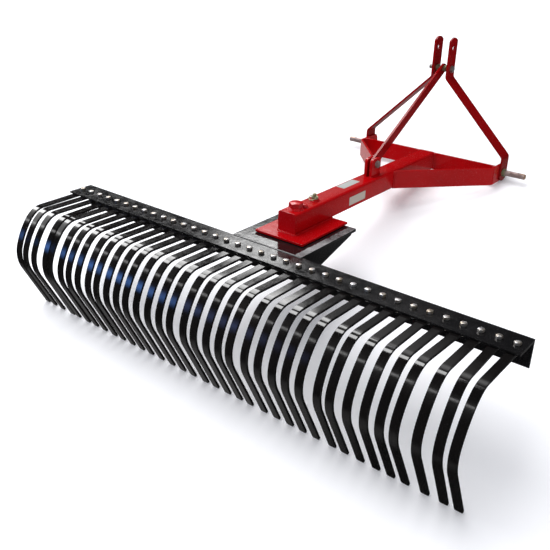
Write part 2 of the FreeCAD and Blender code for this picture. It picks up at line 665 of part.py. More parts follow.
def cut_round_end(body, name, centre, heading):
    """Rounds an end: cuts away what lies outside a half circle that faces a heading in degrees."""
    sketch = new_sketch(body, "YZ_Plane", f"{body.Name}_{name}")
    facing = math.radians(heading)
    middle = FreeCAD.Vector(value(centre[0]), value(centre[1]), 0)
    radius = value(FOOT_RADIUS)
    out = FreeCAD.Vector(math.cos(facing), math.sin(facing), 0) * radius * 2
    half = Part.ArcOfCircle(Part.Circle(middle, UP, radius), facing - math.pi / 2, facing + math.pi / 2)
    first, last = half.StartPoint, half.EndPoint
    arc = sketch.addGeometry(half, False)
    corners = [last, last + out, first + out, first]
    sides = [sketch.addGeometry(Part.LineSegment(a, b), False) for a, b in zip(corners, corners[1:])]
    along, across = ("Horizontal", "Vertical") if heading % 180 == 0 else ("Vertical", "Horizontal")
    join(sketch, "Coincident", arc, 2, sides[0], 1)
    join(sketch, "Coincident", sides[0], 2, sides[1], 1)
    join(sketch, "Coincident", sides[1], 2, sides[2], 1)
    join(sketch, "Coincident", sides[2], 2, arc, 1)
    join(sketch, along, sides[0])
    join(sketch, across, sides[1])
    join(sketch, along, sides[2])
    join(sketch, across, arc, 3, arc, 1)
    join(sketch, across, arc, 3, arc, 2)
    dimension(sketch, "Distance", (sides[0],), f"{FOOT_RADIUS} * 2")
    dimension(sketch, "Radius", (arc,), FOOT_RADIUS)
    place_point(sketch, arc, 3, *centre)
    cut_through(body, sketch)


def drill_across(body, *holes):
    """Bores holes along X, each (centre, diameter)."""
    sketch = new_sketch(body, "YZ_Plane", f"{body.Name}_bores")
    for centre, diameter in holes:
        draw_circle(sketch, centre, diameter)
    cut_through(body, sketch)


HITCH_PIN_LINE = (HITCH_PIN_FORWARD, f"{BOOM_BOTTOM} + hitch_pin_rise")
TOP_LINK_LINE = (MAST_FORWARD, "top_link_height")
MAST_BOLT_LINE = (MAST_FORWARD, "top_link_height - mast_bolt_drop")
BRACE_BOLT_LINE = (BRACE_BOLT_FORWARD, f"{BOOM_TOP} + brace_bolt_rise")
FOOT_LINE = (MAST_FORWARD, FOOT_CENTRE)
HITCH_PIN_BORE = "hitch_pin_diameter + 2 * hitch_pin_clearance"
BOLT_BORE = "brace_bolt_diameter + 2 * bolt_clearance"


def make_wing(name, hand):
    """A flat bar on edge from the side of the boom out to a lower hitch pin."""
    body = new_body(name)
    plan = new_sketch(body, "XY_Plane", f"{name}_plan", BOOM_BOTTOM)
    corner = "(wing_radius + frame_thick) * tan(wing_angle / 2)"
    start = (signed(hand, BOOM_HALF), WING_START)
    heading = "90 - wing_angle" if hand > 0 else "90 + wing_angle"
    draw_bent_bar(plan, start, heading, "frame_thick", hand, [
        ("run", f"{WING_REACH} / sin(wing_angle) - {corner}"),
        ("bend", "wing_angle", "wing_radius", hand),
        ("run", f"mast_lead + {FOOT_RADIUS} + wing_bend_gap - {corner}"),
    ], flush=True)
    pad(body, plan, "frame_height")
    cut_round_end(body, "front", FOOT_LINE, 0)
    drill_across(body, (HITCH_PIN_LINE, HITCH_PIN_BORE))


def make_mast_strap(name, hand):
    """A flat bar from the top link's hole down, bent outwards and down again to a lower hitch pin."""
    body = new_body(name)
    view = new_sketch(body, "XZ_Plane", f"{name}_view", f"-({MAST_FORWARD})")
    half_turn = f"tan({STRAP_SLANT} / 2)"
    draw_bent_bar(view, (signed(hand, "clevis_half"), f"top_link_height + {FOOT_RADIUS}"), "270",
                  "strap_thick", hand, [
        ("run", f"{FOOT_RADIUS} + upper_bend_drop - (strap_radius + strap_thick) * {half_turn}"),
        ("bend", STRAP_SLANT, "strap_radius", hand),
        ("run", f"{STRAP_REACH} / sin({STRAP_SLANT}) - (2 * strap_radius + strap_thick) * {half_turn}"),
        ("bend", STRAP_SLANT, "strap_radius", -hand),
        ("run", f"lower_bend_rise - strap_radius * {half_turn}"),
    ])
    pad(body, view, "strap_width", both_ways=True)
    cut_round_end(body, "foot", FOOT_LINE, -90)
    cut_round_end(body, "top", TOP_LINK_LINE, 90)
    drill_across(body, (HITCH_PIN_LINE, HITCH_PIN_BORE), (TOP_LINK_LINE, "top_link_hole"),
                 (MAST_BOLT_LINE, BOLT_BORE))


def make_rear_brace():
    """The flat bar on edge that holds the mast back to the boom."""
    body = new_body("rear_brace")
    outline = new_sketch(body, "YZ_Plane", "brace_outline")
    draw_link(outline, BRACE_BOLT_LINE, MAST_BOLT_LINE, "brace_width")
    pad(body, outline, "brace_thick", both_ways=True)
    drill_across(body, (BRACE_BOLT_LINE, BOLT_BORE), (MAST_BOLT_LINE, BOLT_BORE))


def make_brace_lugs():
    """The two lugs on the boom that hold the brace's lower end."""
    body = new_body("brace_lugs")
    body.AllowCompound = True
    outline = new_sketch(body, "YZ_Plane", "lug_outline", LUG_INNER)
    rear, peak = f"{BRACE_BOLT_FORWARD} - lug_tail", f"{BOOM_TOP} + lug_height"
    draw_rectangle(outline, (rear, BOOM_TOP), (f"{rear} + lug_length", peak))
    lug = pad(body, outline, "lug_thick")
    across, top = FreeCAD.Vector(1, 0, 0), value(f"{BOOM_TOP} + lug_height")
    rounded = soften(body, lug, "Fillet", lambda e: runs_along(e, across) and near_line(e, z=top),
                     "lug_corner")
    other = body.newObject("PartDesign::Mirrored", "lug_pair")
    other.Originals = [lug, rounded]
    other.MirrorPlane = (origin_feature(body, "YZ_Plane"), [""])
    body.Tip = other
    doc.recompute()
    drill_across(body, (BRACE_BOLT_LINE, BOLT_BORE))


def make_brace_bolt():
    """The bolt and nut through the lugs and the brace's lower end."""
    body = new_body("brace_bolt")
    outside = f"({LUG_INNER} + lug_thick)"
    stack(body, "YZ_Plane", BRACE_BOLT_LINE, [
        (draw_circle, "brace_bolt_diameter", f"-{outside} - bolt_head_height * 1.6",
         f"{outside} * 2 + bolt_head_height * 1.6"),
        (draw_hexagon, "bolt_across_flats", outside, "bolt_head_height"),
        (draw_hexagon, "bolt_across_flats", f"-{outside} - bolt_head_height * 1.3",
         "bolt_head_height * 1.3"),
    ])


def make_mast_bolt():
    """The long bolt through both mast straps and the brace's upper end."""
    body = new_body("mast_bolt")
    outside = "(clevis_half + strap_thick)"
    stack(body, "YZ_Plane", MAST_BOLT_LINE, [
        (draw_circle, "brace_bolt_diameter", f"-{outside} - mast_bolt_tail",
         f"{outside} * 2 + mast_bolt_tail"),
        (draw_hexagon, "bolt_across_flats", outside, "bolt_head_height"),
    ])


def make_hitch_pin(name, hand):
    """A lower hitch pin with its collar outside the strap and its nut inside the wing."""
    body = new_body(name)
    inside = "hitch_half - frame_thick - collar_thick"
    layers = [
        (draw_circle, "hitch_pin_diameter", f"{inside} - hitch_pin_thread",
         f"{HITCH_PIN_REACH} - ({inside} - hitch_pin_thread)"),
        (draw_hexagon, "collar_across_flats", inside, "collar_thick"),
        (draw_hexagon, "collar_across_flats", "hitch_half + strap_thick", "collar_thick"),
    ]
    stack(body, "YZ_Plane", HITCH_PIN_LINE, layers if hand > 0 else mirrored(layers))
    tip = hand * value(HITCH_PIN_REACH)
    soften(body, body.Tip, "Chamfer", lambda e: abs(e.BoundBox.Center.x - tip) < 0.01, "hitch_pin_point")
    hole = new_sketch(body, "XY_Plane", f"{name}_cross_hole")
    inset = f"{HITCH_PIN_REACH} - hitch_pin_hole_inset"
    draw_circle(hole, (signed(hand, inset), HITCH_PIN_FORWARD), "hitch_pin_hole")
    cut_through(body, hole)


LOCK_LINE = ("0", LOCK_FORWARD)
RING_HEIGHT = f"{BOOM_TOP} + boss_height + lock_head_height + lock_neck_height / 2"


def make_lock_pin():
    """The pull-up lock pin that holds the rake head at one of its angles."""
    body = new_body("lock_pin")
    seat = f"{BOOM_TOP} + boss_height"
    foot = f"({DECK_BOTTOM} - lock_tail)"
    stack(body, "XY_Plane", LOCK_LINE, [
        (draw_circle, "lock_diameter", foot, f"{seat} - {foot}"),
        (draw_circle, "lock_head_diameter", seat, "lock_head_height"),
        (draw_circle, "lock_neck_diameter", f"{seat} + lock_head_height", "lock_neck_height"),
    ])
    low, size = value(foot), value("lock_diameter")
    soften(body, body.Tip, "Chamfer", lambda e: abs(e.BoundBox.Center.z - low) < 0.01 and size > 0,
           "lock_diameter / 8")
    drill_across(body, ((LOCK_LINE[1], RING_HEIGHT), "lock_ring_hole"))


def make_lock_ring():
    """The pull ring of eight-sided wire, hanging back from the hole in the lock pin's neck."""
    body = new_body("lock_pin_ring")
    wire = new_sketch(body, "XZ_Plane", "ring_wire")
    flat, near = "lock_ring_wire / 2", "lock_ring_wire / 2 * tan(22.5)"
    corners = [(flat, near), (near, flat), (f"-{near}", flat), (f"-{flat}", near),
               (f"-{flat}", f"-{near}"), (f"-{near}", f"-{flat}"), (near, f"-{flat}"), (flat, f"-{near}")]
    draw_polygon(wire, [(f"lock_ring_radius + {x}", y) for x, y in corners])
    turned = body.newObject("PartDesign::Revolution", "ring_turned")
    turned.Profile = wire
    turned.ReferenceAxis = (wire, ["V_Axis"])
    turned.Angle = 360
    lean = FreeCAD.Rotation(FreeCAD.Vector(1, 0, 0), value("lock_ring_lean"))
    hole = FreeCAD.Vector(0, value(LOCK_LINE[1]), value(RING_HEIGHT))
    centre = hole + lean.multVec(FreeCAD.Vector(0, -value("lock_ring_radius"), 0))
    body.Placement = FreeCAD.Placement(centre, lean)


def parked_placement(corners):
    """The placement that sets the machine down on its tine points and its two round hitch feet.

    corners holds the corners of the tines' lower ends. The machine is tipped forward until these and
    the feet stand level, then moved so that the middle of its bounding box's bottom is at zero.
    """
    foot = FreeCAD.Vector(0, value(MAST_FORWARD), value(FOOT_CENTRE))
    low, high = 0.0, 60.0
    while high - low > 1e-9:
        angle = (low + high) / 2
        tip_forward = FreeCAD.Rotation(FreeCAD.Vector(1, 0, 0), -angle)
        heel = min(tip_forward.multVec(corner).z for corner in corners)
        if tip_forward.multVec(foot).z - value(FOOT_RADIUS) > heel:
            low = angle
        else:
            high = angle
    turn = FreeCAD.Placement(FreeCAD.Vector(0, 0, 0), tip_forward)
    box = FreeCAD.BoundBox()
    for piece in pieces:
        shape = piece.Shape.copy()
        shape.Placement = turn.multiply(shape.Placement)
        box.add(shape.optimalBoundingBox(False))
    shift = FreeCAD.Vector(-box.Center.x, -box.Center.y, -box.ZMin)
    print(f"parked: tipped {angle:.4f} degrees, moved {shift.x:.3f} {shift.y:.3f} {shift.z:.3f} mm")
    return FreeCAD.Placement(shift, tip_forward)


def check_document():
    """Stops on a feature that failed and on a piece that is not sound."""
    broken = [thing.Name for thing in doc.Objects if {"Invalid", "Error"} & set(thing.State)]
    if broken:
        raise RuntimeError(f"failed features: {broken}")
    for piece in pieces:
        if not piece.Shape.isValid() or not piece.Shape.Solids:
            raise RuntimeError(f"{piece.Label} has no sound shape")


sheet = make_sheet()
make_angle_bar()
tine_corners = []
for place in range(1, round(value("tine_count")) + 1):
    tine_corners += make_tine(place)
make_deck_plate()
make_gusset("gusset_left", -1)
make_gusset("gusset_right", 1)
make_swivel_plate()
make_ring("swivel_washer", WASHER_BOTTOM, "washer_thick", "washer_diameter", KINGPIN_BORE, "pivot_forward")
make_kingpin()
make_kingpin_nut()
make_boom_tube()
make_boom_end_cap()
make_crossbar()
for side, hand in (("left", -1), ("right", 1)):
    make_wing(f"wing_plate_{side}", hand)
    make_mast_strap(f"mast_strap_{side}", hand)
    make_hitch_pin(f"hitch_pin_{side}", hand)
make_rear_brace()
make_brace_lugs()
make_brace_bolt()
make_mast_bolt()
make_ring("lock_pin_boss", BOOM_TOP, "boss_height", "boss_diameter", LOCK_BORE, LOCK_LINE[1])
make_lock_pin()
make_lock_ring()
doc.recompute()
check_document()

parked = parked_placement(tine_corners)
for piece in pieces:
    piece.Placement = parked.multiply(piece.Placement)
doc.recompute()
check_document()

os.makedirs("parts", exist_ok=True)
for piece in pieces:
    piece.Shape.exportStep(os.path.join("parts", f"{piece.Label}.step"))
print(f"{len(pieces)} pieces written")
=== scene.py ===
"""Landscape rake: its paint, plating, fasteners, weld beads and labels, in a plain studio."""
import json
import logging
import math
import random
from dataclasses import dataclass, replace
from enum import Enum
from functools import cache

import bmesh
import bpy
from bmesh.types import BMesh, BMEdge, BMFace, BMVert
from bpy.types import Material, Node, NodeOutputs, NodeSocket, Object, ShaderNodeTree
from mathutils import Matrix, Vector

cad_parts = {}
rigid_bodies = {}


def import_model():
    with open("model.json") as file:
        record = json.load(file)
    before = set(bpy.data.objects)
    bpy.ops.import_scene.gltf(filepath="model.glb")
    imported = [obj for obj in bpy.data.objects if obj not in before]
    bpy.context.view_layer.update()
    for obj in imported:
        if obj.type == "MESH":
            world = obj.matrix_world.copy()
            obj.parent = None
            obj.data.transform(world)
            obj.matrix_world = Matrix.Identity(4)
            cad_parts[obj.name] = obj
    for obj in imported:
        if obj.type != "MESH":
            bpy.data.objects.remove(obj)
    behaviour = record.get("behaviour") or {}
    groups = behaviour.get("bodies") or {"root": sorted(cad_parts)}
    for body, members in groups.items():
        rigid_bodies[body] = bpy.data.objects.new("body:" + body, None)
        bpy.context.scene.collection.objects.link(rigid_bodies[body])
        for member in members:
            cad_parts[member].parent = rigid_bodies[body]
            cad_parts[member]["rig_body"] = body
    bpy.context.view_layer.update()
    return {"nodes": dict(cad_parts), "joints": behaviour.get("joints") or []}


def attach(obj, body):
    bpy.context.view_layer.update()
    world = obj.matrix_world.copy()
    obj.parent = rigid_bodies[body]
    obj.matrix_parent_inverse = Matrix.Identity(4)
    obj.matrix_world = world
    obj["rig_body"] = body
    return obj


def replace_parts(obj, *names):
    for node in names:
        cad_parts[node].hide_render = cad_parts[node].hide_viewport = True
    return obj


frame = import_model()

Pair = tuple[float, float]
Point = tuple[float, float, float]
Value = NodeSocket | float | tuple[float, ...]
Values = dict[str | int, Value]

LOG = logging.getLogger("landscape_rake")
MM = 0.001
MERGE = 1e-6
UP, DOWN, LEFT, RIGHT = (0, 0, 1), (0, 0, -1), (-1, 0, 0), (1, 0, 0)
KINGPIN_FORWARD = 155.0
BOOM_HALF = 37.5
BOOM_LOW = 12.5
BOOM_TOP = 87.5
DECK_HALF = 147.0
LOCK_FORWARD = 265.0
SMOOTH_FLATS, SMOOTH_ROUNDS = 30.0, 60.0


class Body(Enum):
    """The three bodies that move on their own."""

    BOOM = "boom"
    HEAD = "rake_head"
    LOCK = "lock_pin"


class Plating(Enum):
    """The kinds of plate on the fasteners."""

    BRIGHT = "bright_zinc"
    YELLOW = "yellow_zinc"


def machine_placement() -> Matrix:
    """Works out how the parked machine stands.

    Sizes below are in millimetres unless they say metres, in the machine's own level frame: X to the right,
    Y forward, Z up, with its zero in the middle of the rake bar, on the front face of its leg and level
    with the top of its flange. The kingpin stands upright in that frame.

    Returns:
        The placement that takes the level frame to the parked machine, in metres.
    """
    swivel = next(joint for joint in frame["joints"] if joint["name"] == "rake_swivel")
    axis = Vector(swivel["axis"])
    tilt = Matrix.Rotation(-math.atan2(axis.y, axis.z), 4, "X")
    return Matrix.Translation(Vector(swivel["pos_m"]) - tilt @ Vector((0, KINGPIN_FORWARD * MM, 0))) @ tilt


PARKED = machine_placement()


# Meshes


def facing(direction: Point | Vector, at: Point | Vector, turn: float = 0.0) -> Matrix:
    """A placement, in metres, whose Z points along a direction.

    Args:
        direction: where Z points, in the level frame.
        at: its zero.
        turn: its turn about that direction, in degrees.

    Returns:
        The placement.
    """
    aim = Vector(direction).to_track_quat("Z", "Y").to_matrix().to_4x4()
    return turned(Matrix.Translation(Vector(at) * MM) @ aim, (turn, "Z"))


def raised(place: Matrix, height: float) -> Matrix:
    """A placement moved along its own Z."""
    return place @ Matrix.Translation((0, 0, height * MM))


def turned(place: Matrix, *turns: tuple[float, str]) -> Matrix:
    """A placement turned about its own axes, one after another, each time by an angle in degrees."""
    for angle, axis in turns:
        place = place @ Matrix.Rotation(math.radians(angle), 4, axis)
    return place


def gained(bm: BMesh, before: set[BMVert]) -> list[BMVert]:
    """The vertices that a mesh has now and didn't have before."""
    return [vert for vert in bm.verts if vert not in before]


def turn_profile(bm: BMesh, profile: list[Pair], place: Matrix, steps: int = 32) -> None:
    """Turns an outline about Z, as on a lathe.

    Args:
        bm: the mesh to add to.
        profile: (radius, height) points from one end to the other. A radius of 0 closes the shape.
        place: where the shape goes.
        steps: faces round the shape.
    """
    before = set(bm.verts)
    row = [bm.verts.new((radius * MM, 0, height * MM)) for radius, height in profile]
    edges = [bm.edges.new(pair) for pair in zip(row, row[1:])]
    if profile[0][0] and profile[-1][0]:
        edges.append(bm.edges.new((row[-1], row[0])))
    bmesh.ops.spin(bm, geom=row + edges, axis=UP, cent=(0, 0, 0), angle=math.tau, steps=steps,
                   use_merge=True, use_duplicate=False)
    bmesh.ops.remove_doubles(bm, verts=gained(bm, before), dist=MERGE)
    bmesh.ops.transform(bm, matrix=place, verts=gained(bm, before))


def add_rod(bm: BMesh, radius: float, length: float, place: Matrix, steps: int) -> None:
    """Adds a plain round rod that stands up along Z."""
    turn_profile(bm, [(0, 0), (radius, 0), (radius, length), (0, length)], place, steps)


def raise_ring(bm: BMesh, ring: list[BMEdge]) -> tuple[list[BMEdge], list[BMVert]]:
    """Extrudes a ring of edges in place, and gives the new ring's edges and vertices."""
    made = bmesh.ops.extrude_edge_only(bm, edges=ring)["geom"]
    return [e for e in made if isinstance(e, BMEdge)], [v for v in made if isinstance(v, BMVert)]


def add_hexagon(bm: BMesh, flats: float, height: float, place: Matrix, both_ends: bool = False,
                steps: int = 36) -> None:
    """Adds a bolt head or nut: six flats, with the corners turned off at 30 degrees.

    Args:
        bm: the mesh to add to.
        flats: width over the flats.
        height: height along Z.
        place: where its lower face goes.
        both_ends: turns the lower corners off too, as on a nut.
        steps: faces round it, a multiple of six.
    """
    half, high, sixth = flats / 2 * MM, height * MM, math.radians(60)
    face_radius = half * 0.95

    def outline(vert: BMVert) -> float:
        """How far the six flats stand from the middle at a vertex's angle."""
        angle = math.atan2(vert.co.y, vert.co.x)
        return half / math.cos((angle % sixth) - sixth / 2)

    def drop(radius: float) -> float:
        """How much the turned-off corners fall at a radius."""
        return (radius - face_radius) * math.tan(math.radians(30))

    def put(vert: BMVert, radius: float, level: float) -> None:
        """Moves a vertex to a radius and a height, at its own angle."""
        vert.co = Vector((vert.co.x, vert.co.y, 0)).normalized() * radius
        vert.co.z = level

    before = set(bm.verts)
    first = bmesh.ops.create_circle(bm, cap_ends=True, segments=steps, radius=face_radius)["verts"]
    ring, verts = raise_ring(bm, list({edge for vert in first for edge in vert.link_edges}))
    for vert in verts:
        put(vert, outline(vert), drop(outline(vert)) if both_ends else 0.0)
    ring, verts = raise_ring(bm, ring)
    for vert in verts:
        vert.co.z = high - drop(outline(vert))
    ring, verts = raise_ring(bm, ring)
    for vert in verts:
        put(vert, face_radius, high)
    bmesh.ops.edgeloop_fill(bm, edges=ring)
    bmesh.ops.transform(bm, matrix=place, verts=gained(bm, before))


def add_thread(bm: BMesh, radius: float, length: float, pitch: float, place: Matrix, steps: int = 24) -> None:
    """Adds a threaded end that stands up along Z, with a bevelled tip.

    Args:
        bm: the mesh to add to.
        radius: the thread's outer radius.
        length: length of the thread.
        pitch: distance from crest to crest.
        place: where its root goes.
        steps: faces round it.
    """
    root = radius - pitch * 0.55
    profile: list[Pair] = [(0.0, 0.0), (root, 0.0)]
    turns = max(1, int((length - pitch * 0.5) / pitch))
    for turn in range(turns):
        low = length - pitch * 0.5 - (turns - turn) * pitch
        profile += [(root, low + pitch * 0.12), (radius, low + pitch * 0.42), (radius, low + pitch * 0.58)]
    profile += [(root, length - pitch * 0.4), (root - pitch * 0.5, length), (0.0, length)]
    turn_profile(bm, profile, place, steps)


def add_washer(bm: BMesh, outer: float, inner: float, thick: float, place: Matrix, steps: int) -> None:
    """Adds a flat washer with softened edges.

    Args:
        bm: the mesh to add to.
        outer: outer radius.
        inner: radius of its hole.
        thick: thickness along Z.
        place: where its lower face goes.
        steps: faces round it.
    """
    soft = thick * 0.15
    turn_profile(bm, [(inner, 0), (outer - soft, 0), (outer, soft), (outer, thick - soft),
                      (outer - soft, thick), (inner, thick)], place, steps)


def lay_bead(bm: BMesh, length: float, radius: float, rng: random.Random, taper: bool = True) -> list[BMVert]:
    """Lays a straight weld bead along X: a rod with the crescents and the unevenness of a hand weld.

    Args:
        bm: the mesh to add to.
        length: its length, in metres.
        radius: its radius, in metres.
        rng: source of its small unevenness.
        taper: rounds its ends.

    Returns:
        The new vertices.
    """
    pitch, crescents, bumps = 3.2 * MM, 0.07, 0.10
    rows, sides = max(8, int(length / (pitch / 4))), 10
    before = set(bm.verts)
    grid = bmesh.ops.create_grid(bm, x_segments=rows, y_segments=sides, size=0.5)["verts"]
    sway = [rng.uniform(0, math.tau) for _ in range(3)]
    for vert in grid:
        travel, about = (vert.co.x + 0.5) * length, (vert.co.y + 0.5) * math.tau
        end = min(1.0, travel / radius, (length - travel) / radius) if taper else 1.0
        end = math.sqrt(max(0.0, 1 - (1 - end) ** 2))
        crescent = math.sin((travel + abs(math.sin(about / 2)) * pitch * 0.6) / pitch * math.tau)
        uneven = sum(math.sin(travel / (wave * MM) + phase) for wave, phase in zip((4, 9, 17), sway)) / 3
        size = radius * end * (1 + crescents * crescent + bumps * uneven)
        vert.co = Vector((travel, math.cos(about) * size, math.sin(about) * size))
    bmesh.ops.remove_doubles(bm, verts=grid, dist=MERGE)
    return gained(bm, before)


@dataclass(frozen=True)
class Bead:
    """A straight weld bead half sunk in a corner. Its rise is its height against its width."""

    start: Point
    end: Point
    radius: float
    rise: float = 1.0

    def lay(self, bm: BMesh, rng: random.Random) -> None:
        """Lays the bead.

        Args:
            bm: the mesh to add to.
            rng: source of its small unevenness.
        """
        along = (Vector(self.end) - Vector(self.start)) * MM
        verts = lay_bead(bm, along.length, self.radius * MM, rng)
        bmesh.ops.scale(bm, vec=(1, 1, self.rise), verts=verts)
        turn = along.to_track_quat("X", "Z").to_matrix().to_4x4()
        bmesh.ops.transform(bm, matrix=Matrix.Translation(Vector(self.start) * MM) @ turn, verts=verts)


def add_ring_bead(bm: BMesh, centre: Point, across: float, radius: float, rng: random.Random) -> None:
    """Adds a weld bead that runs round an upright pin.

    Args:
        bm: the mesh to add to.
        centre: middle of the ring.
        across: radius of the ring.
        radius: radius of the bead.
        rng: source of its small unevenness.
    """
    before, reach = set(bm.verts), across * MM
    for vert in lay_bead(bm, math.tau * reach, radius * MM, rng, taper=False):
        angle, out = vert.co.x / reach, reach + vert.co.y
        vert.co = Vector((math.cos(angle) * out, math.sin(angle) * out, vert.co.z)) + Vector(centre) * MM
    bmesh.ops.remove_doubles(bm, verts=gained(bm, before), dist=0.2 * MM)


def node_mesh(node: str) -> BMesh:
    """Copies a CAD node's mesh and joins its loose triangles into flat faces.

    Args:
        node: the node.

    Returns:
        The copy, in metres and already parked.
    """
    bm = bmesh.new()
    bm.from_mesh(frame["nodes"][node].data)
    bmesh.ops.remove_doubles(bm, verts=bm.verts[:], dist=3e-6)
    bmesh.ops.dissolve_limit(bm, angle_limit=math.radians(0.6), verts=bm.verts[:], edges=bm.edges[:])
    return bm


def soften_edges(piece: Object, width: float) -> None:
    """Rounds a piece's edges, as rolling, shearing and paint leave them.

    Args:
        piece: the piece.
        width: how wide the rounding is.
    """
    soft = piece.modifiers.new("soft_edges", "BEVEL")
    soft.width, soft.segments = width * MM, 2
    soft.limit_method, soft.angle_limit = "ANGLE", math.radians(30)
    soft.harden_normals = True


# Materials


def feed(tree: ShaderNodeTree, node: Node, given: Values) -> None:
    """Links or sets a node's inputs.

    Args:
        tree: the node's tree.
        node: the node.
        given: what each input gets, by the input's name or number. A socket is linked, and a value is set.
    """
    for place, value in given.items():
        if isinstance(value, NodeSocket):
            tree.links.new(value, node.inputs[place])
        else:
            node.inputs[place].default_value = value


def add_node(tree: ShaderNodeTree, kind: str, given: Values,
             **choices: str | int | ShaderNodeTree) -> Node:
    """Adds a node and feeds its inputs.

    Args:
        tree: the tree to add to.
        kind: the node's type, without its prefix.
        given: what each input gets.
        choices: the node's own settings, made before its inputs are fed.

    Returns:
        The node.
    """
    node = tree.nodes.new(f"ShaderNode{kind}")
    for name, choice in choices.items():
        setattr(node, name, choice)
    feed(tree, node, given)
    return node


def add_sum(tree: ShaderNodeTree, operation: str, *values: Value) -> NodeSocket:
    """Adds one sum on one to three numbers and gives its result."""
    return add_node(tree, "Math", dict(enumerate(values)), operation=operation).outputs[0]


def add_noise(tree: ShaderNodeTree, where: NodeSocket, scale: Value, detail: float,
              roughness: float = 0.5) -> NodeSocket:
    """Adds a noise texture.

    Args:
        tree: the tree to add to.
        where: the coordinates that it reads.
        scale: its scale.
        detail: its layers.
        roughness: how strong the finer layers are.

    Returns:
        Its value, about 0.3 to 0.7.
    """
    given = {"Vector": where, "Scale": scale, "Detail": detail, "Roughness": roughness}
    return add_node(tree, "TexNoise", given).outputs["Fac"]


def add_range(tree: ShaderNodeTree, source: NodeSocket, low: float, high: float, to_low: Value = 0.0,
              to_high: Value = 1.0) -> NodeSocket:
    """Maps a value from one range to another and stops at its ends.

    Args:
        tree: the tree to add to.
        source: the value.
        low: lower end of the value's range.
        high: upper end of the value's range.
        to_low: what the lower end becomes.
        to_high: what the upper end becomes.

    Returns:
        The mapped value.
    """
    given = {"Value": source, "From Min": low, "From Max": high, "To Min": to_low, "To Max": to_high}
    return add_node(tree, "MapRange", given).outputs["Result"]


def add_mix(tree: ShaderNodeTree, factor: NodeSocket, first: Value, second: Value) -> NodeSocket:
    """Mixes two colours: a factor of 0 gives the first one and 1 the second."""
    factor_at, first_at, second_at, color_at = 0, 6, 7, 2
    given = {factor_at: factor, first_at: first, second_at: second}
    return add_node(tree, "Mix", given, data_type="RGBA").outputs[color_at]


def start_film(name: str, colors: tuple[str, ...],
               numbers: tuple[str, ...]) -> tuple[ShaderNodeTree, NodeOutputs, Node]:
    """Starts a shared node group that gives a finish its colour, roughness and relief.

    Args:
        name: the group's name.
        colors: names of the inputs that take colours.
        numbers: names of the inputs that take numbers.

    Returns:
        The tree, what its inputs give, and the node that takes its results.
    """
    tree = bpy.data.node_groups.new(name, "ShaderNodeTree")
    sockets = [(label, "INPUT") for label in colors + numbers]
    for label, way in sockets + [("Color", "OUTPUT"), ("Roughness", "OUTPUT"), ("Height", "OUTPUT")]:
        kind = "NodeSocketColor" if label in (*colors, "Color") else "NodeSocketFloat"
        tree.interface.new_socket(label, in_out=way, socket_type=kind)
    return tree, tree.nodes.new("NodeGroupInput").outputs, tree.nodes.new("NodeGroupOutput")


@cache
def paint_film() -> ShaderNodeTree:
    """Builds the group for sprayed paint: thick and thin places, dust specks and a fine orange peel.

    Returns:
        The group, which every paint shares.
    """
    tree, given, result = start_film("paint_film", ("Paint", "Thin Paint", "Dust"),
                                     ("Dust Amount", "Gloss Low", "Gloss High", "Grit", "Waves"))
    where = tree.nodes.new("ShaderNodeTexCoord").outputs["Object"]
    flow = add_range(tree, add_noise(tree, where, 7.0, 3.0, 0.55), 0.36, 0.66)
    specks = add_range(tree, add_noise(tree, where, 420.0, 2.0, 0.6), 0.60, 0.74)
    cloud = add_range(tree, add_noise(tree, where, 11.0, 4.0, 0.6), 0.45, 0.75)
    dust = add_sum(tree, "MULTIPLY", add_sum(tree, "MULTIPLY", specks, cloud), given["Dust Amount"])
    gloss = add_range(tree, add_noise(tree, where, 26.0, 5.0, 0.62), 0.34, 0.68, given["Gloss Low"],
                      given["Gloss High"])
    grit = add_range(tree, add_noise(tree, where, 300.0, 3.0, 0.65), 0.52, 0.70)
    peel = add_noise(tree, where, 260.0, 2.0, 0.45)
    waves = add_noise(tree, where, 60.0, 1.0, 0.4)
    feed(tree, result, {
        "Color": add_mix(tree, dust, add_mix(tree, flow, given["Paint"], given["Thin Paint"]), given["Dust"]),
        "Roughness": add_sum(tree, "MULTIPLY_ADD", grit, given["Grit"], gloss),
        "Height": add_sum(tree, "MULTIPLY_ADD", waves, given["Waves"], peel)})
    return tree


@cache
def plate_film() -> ShaderNodeTree:
    """Builds the group for plated steel: a clouded sheen with faint stains and tumbling marks.

    Returns:
        The group, which every plate shares.
    """
    tree, given, result = start_film("plate_film", ("Metal", "Stain"), ("Stain Scale", "Gloss Low", "Gloss High"))
    where = tree.nodes.new("ShaderNodeTexCoord").outputs["Object"]
    stain = add_range(tree, add_noise(tree, where, given["Stain Scale"], 4.0, 0.6), 0.42, 0.68)
    gloss = add_range(tree, add_noise(tree, where, 240.0, 3.0, 0.6), 0.35, 0.65, given["Gloss Low"],
                      given["Gloss High"])
    feed(tree, result, {"Color": add_mix(tree, stain, given["Metal"], given["Stain"]), "Roughness": gloss,
                        "Height": add_noise(tree, where, 900.0, 2.0, 0.5)})
    return tree


def new_material(name: str) -> tuple[Material, Node]:
    """Makes a material and finds its shader."""
    material = bpy.data.materials.new(name)
    material.use_nodes = True
    return material, next(node for node in material.node_tree.nodes if node.type == "BSDF_PRINCIPLED")


